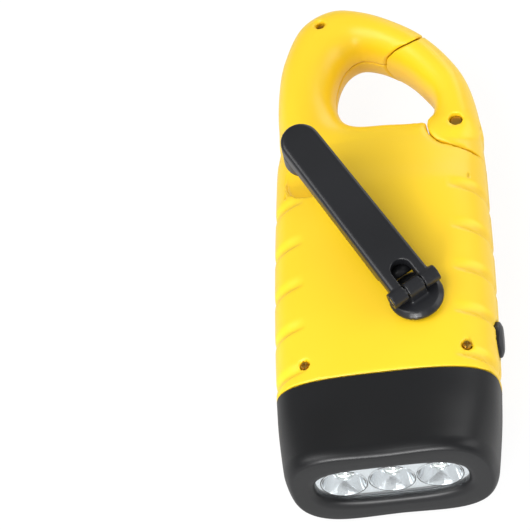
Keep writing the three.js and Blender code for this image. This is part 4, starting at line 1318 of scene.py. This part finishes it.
@dataclass
class SolarPanel(SubAssembly):
    """The black framed panel on the back."""

    body: str = "housing"
    skins: dict[str, tuple[Finish, str, Moulding]] = field(
        default_factory=lambda: {"solar_bezel": (Finish.BLACK_ABS, "black_trim", PANEL_MOULDING)}
    )
    solids: dict[str, Finish] = field(
        default_factory=lambda: {"solar_window": Finish.SOLAR_GLASS, "solar_cell": Finish.SOLAR_CELL}
    )


@dataclass
class Generator(SubAssembly):
    """What turns the crank's slow turns into the rotor's fast ones: fixed pieces."""

    body: str = "housing"
    solids: dict[str, Finish] = field(
        default_factory=lambda: {
            "gear_axle_1": Finish.STEEL,
            "gear_axle_2": Finish.STEEL,
            "generator_coil": Finish.COPPER,
            "generator_can": Finish.STEEL,
            "gear_plate": Finish.STEEL,
            "plate_screw_1": Finish.STEEL,
            "plate_screw_2": Finish.STEEL,
            "plate_screw_3": Finish.STEEL,
        }
    )


@dataclass
class Electronics(SubAssembly):
    """Battery, boards and the switch behind the button."""

    body: str = "housing"
    solids: dict[str, Finish] = field(
        default_factory=lambda: {
            "switch_body": Finish.BLACK_NYLON,
            "button_spring": Finish.STEEL,
            "battery_pack": Finish.GREEN_SLEEVE,
            "control_board": Finish.LAMINATE,
            "storage_capacitor": Finish.DARK_SLEEVE,
        }
    )


@dataclass(frozen=True)
class Softbox:
    """One soft square lamp that looks at the object."""

    name: str
    place_m: tuple[float, float, float]
    side_m: float
    watts: float

    def build(self) -> None:
        """Hangs the lamp."""
        data = bpy.data.lights.new(self.name, "AREA")
        data.shape = "SQUARE"
        data.size = self.side_m
        data.energy = self.watts
        lamp = linked(self.name, data)
        lamp.location = self.place_m
        lamp.rotation_euler = (-Vector(self.place_m)).to_track_quat("-Z", "Y").to_euler()


@dataclass
class StudioSet:
    """Pale floor, soft lamps and the camera at the photograph's viewing angle."""

    origin_mm: tuple[float, float, float] = (-0.6791, -74.4009, 17.2)
    azimuth: float = 10.82
    elevation: float = 32.96
    roll: float = -0.76
    distance_mm: float = 900.0
    focal_px: float = 3545.96
    image_px: int = 530
    shift_right_mm: float = 32.35
    shift_up_mm: float = -55.96
    sensor_mm: float = 36.0
    clip_m: tuple[float, float] = (0.05, 20.0)
    floor_m: float = 4.0
    lamps: tuple[Softbox, ...] = (
        Softbox("key softbox", (-0.6, -0.2, 0.95), 0.8, 6.1),
        Softbox("back softbox", (0.45, 1.0, 0.4), 0.7, 3.0),
        Softbox("side softbox", (0.9, 0.0, 0.45), 0.7, 2.5),
        Softbox("front softbox", (-0.15, -0.9, 0.42), 0.32, 7.0),
    )

    def camera(self) -> None:
        """Makes the camera from the angles and distances that a fit of the photograph gave."""
        turn, tilt, roll = (math.radians(angle) for angle in (self.azimuth, self.elevation, self.roll))
        back = Vector((math.sin(turn) * math.cos(tilt), -math.sin(tilt), math.cos(turn) * math.cos(tilt)))
        up = Vector((math.sin(turn) * math.sin(tilt), math.cos(tilt), math.cos(turn) * math.sin(tilt)))
        right = Vector((math.cos(turn), 0.0, -math.sin(turn)))
        side = right * math.cos(roll) + up * math.sin(roll)
        top = up * math.cos(roll) - right * math.sin(roll)
        place = back * self.distance_mm - side * self.shift_right_mm - top * self.shift_up_mm
        place = (place + Vector(self.origin_mm)) * MM
        data = bpy.data.cameras.new("photo camera")
        data.sensor_width = self.sensor_mm
        data.lens = self.focal_px / self.image_px * self.sensor_mm
        data.clip_start, data.clip_end = self.clip_m
        camera = linked("photo camera", data)
        axes = Matrix((side, top, back)).transposed().to_4x4()
        camera.matrix_world = Matrix.Translation(place) @ axes
        bpy.context.scene.camera = camera

    def by_ray(
        self,
        tree: bpy.types.NodeTree,
        plain: bpy.types.NodeSocket,
        glossy: bpy.types.NodeSocket,
        straight: bpy.types.NodeSocket,
    ) -> bpy.types.NodeSocket:
        """Shows the camera one look, glossy reflections another, and lights the object with a third.

        Args:
            tree: The node tree.
            plain: What lights the object.
            glossy: What its gloss mirrors.
            straight: What the camera sees, also through the clear pieces.

        Returns:
            The look for every ray.
        """
        rays = add_node(tree, "ShaderNodeLightPath").outputs
        seen = add_node(
            tree,
            "ShaderNodeMath",
            links={0: rays["Is Camera Ray"], 1: rays["Is Transmission Ray"]},
            operation="MAXIMUM",
        )
        sheen = add_node(
            tree, "ShaderNodeMixShader", links={0: rays["Is Glossy Ray"], 1: plain, 2: glossy}
        )
        pick = add_node(
            tree, "ShaderNodeMixShader", links={0: seen.outputs[0], 1: sheen.outputs[0], 2: straight}
        )
        return pick.outputs[0]

    def floor(self) -> None:
        """Makes a pale floor: white to the camera with the object's shadow, and dimmer in its gloss."""
        work = bmesh.new()
        bmesh.ops.create_grid(work, x_segments=8, y_segments=8, size=self.floor_m)
        mesh = bpy.data.meshes.new("studio floor")
        work.to_mesh(mesh)
        work.free()
        floor = linked("studio floor", mesh)
        material, tree, output = blank_material("pale paper floor")
        paper = add_node(tree, "ShaderNodeBsdfDiffuse", {"Color": linear("#fbfbfb")})
        shaded = add_node(tree, "ShaderNodeBsdfDiffuse", {"Color": linear("#5a5a5a")})
        looks = []
        for strength in (0.6, 0.92):
            light = {"Color": linear("#ffffff"), "Strength": strength}
            glow = add_node(tree, "ShaderNodeEmission", light)
            parts = {0: shaded.outputs[0], 1: glow.outputs[0]}
            looks.append(add_node(tree, "ShaderNodeAddShader", links=parts).outputs[0])
        tree.links.new(self.by_ray(tree, paper.outputs[0], *looks), output.inputs["Surface"])
        mesh.materials.append(material)

    def world(self) -> None:
        """Sets an even sky: grey light, dimmer in glossy reflections, and white to the camera."""
        world = bpy.data.worlds.new("soft studio")
        world.use_nodes = True
        tree = world.node_tree
        tree.nodes.clear()
        output = add_node(tree, "ShaderNodeOutputWorld")
        skies = []
        for strength in (0.5, 0.25, 1.0):
            light = {"Color": linear("#ffffff"), "Strength": strength}
            skies.append(add_node(tree, "ShaderNodeBackground", light).outputs[0])
        tree.links.new(self.by_ray(tree, *skies), output.inputs["Surface"])
        bpy.context.scene.world = world

    def build(self) -> None:
        """Makes the set."""
        self.camera()
        self.floor()
        self.world()
        for lamp in self.lamps:
            lamp.build()
        bpy.context.scene.view_settings.view_transform = "Standard"


def moving_parts() -> Iterable[SubAssembly]:
    """Lists the pieces that turn, swing or slide.

    Returns:
        One sub-assembly for each moving body.
    """
    nylon, trim = Finish.BLACK_NYLON, "black_trim"
    return (
        SubAssembly(
            "crank_hub_assembly",
            {"crank_hub": (nylon, trim, SMALL_MOULDING)},
            {"drive_gear": Finish.NATURAL_NYLON, "hub_screw": Finish.STEEL},
        ),
        SubAssembly(
            "crank_arm_assembly",
            {"crank_arm": (nylon, trim, ARM_MOULDING)},
            {"crank_hinge_pin": Finish.STEEL, "knob_rivet": Finish.STEEL},
        ),
        SubAssembly("knob", {"crank_knob": (nylon, trim, SMALL_MOULDING)}),
        SubAssembly("first_gear", {}, {"step_gear_1": Finish.NATURAL_NYLON}),
        SubAssembly("second_gear", {}, {"step_gear_2": Finish.NATURAL_NYLON}),
        SubAssembly("rotor", {}, {"generator_rotor": Finish.NATURAL_NYLON}),
        SubAssembly("gate", {"carabiner_gate": (Finish.YELLOW_ABS, "yellow_shell", GATE_MOULDING)}),
        SubAssembly("button", {"power_button": (nylon, trim, SMALL_MOULDING)}),
    )


def main() -> None:
    """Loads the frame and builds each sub-assembly."""
    logging.basicConfig(level=logging.INFO, format="%(name)s: %(message)s")
    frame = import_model()
    StudioSet().build()
    for group in (Housing(), Lights(), SolarPanel(), Generator(), Electronics(), *moving_parts()):
        for name in group.build(frame["nodes"]):
            LOG.info("dressed %s", name)


if __name__ == "__main__":
    main()
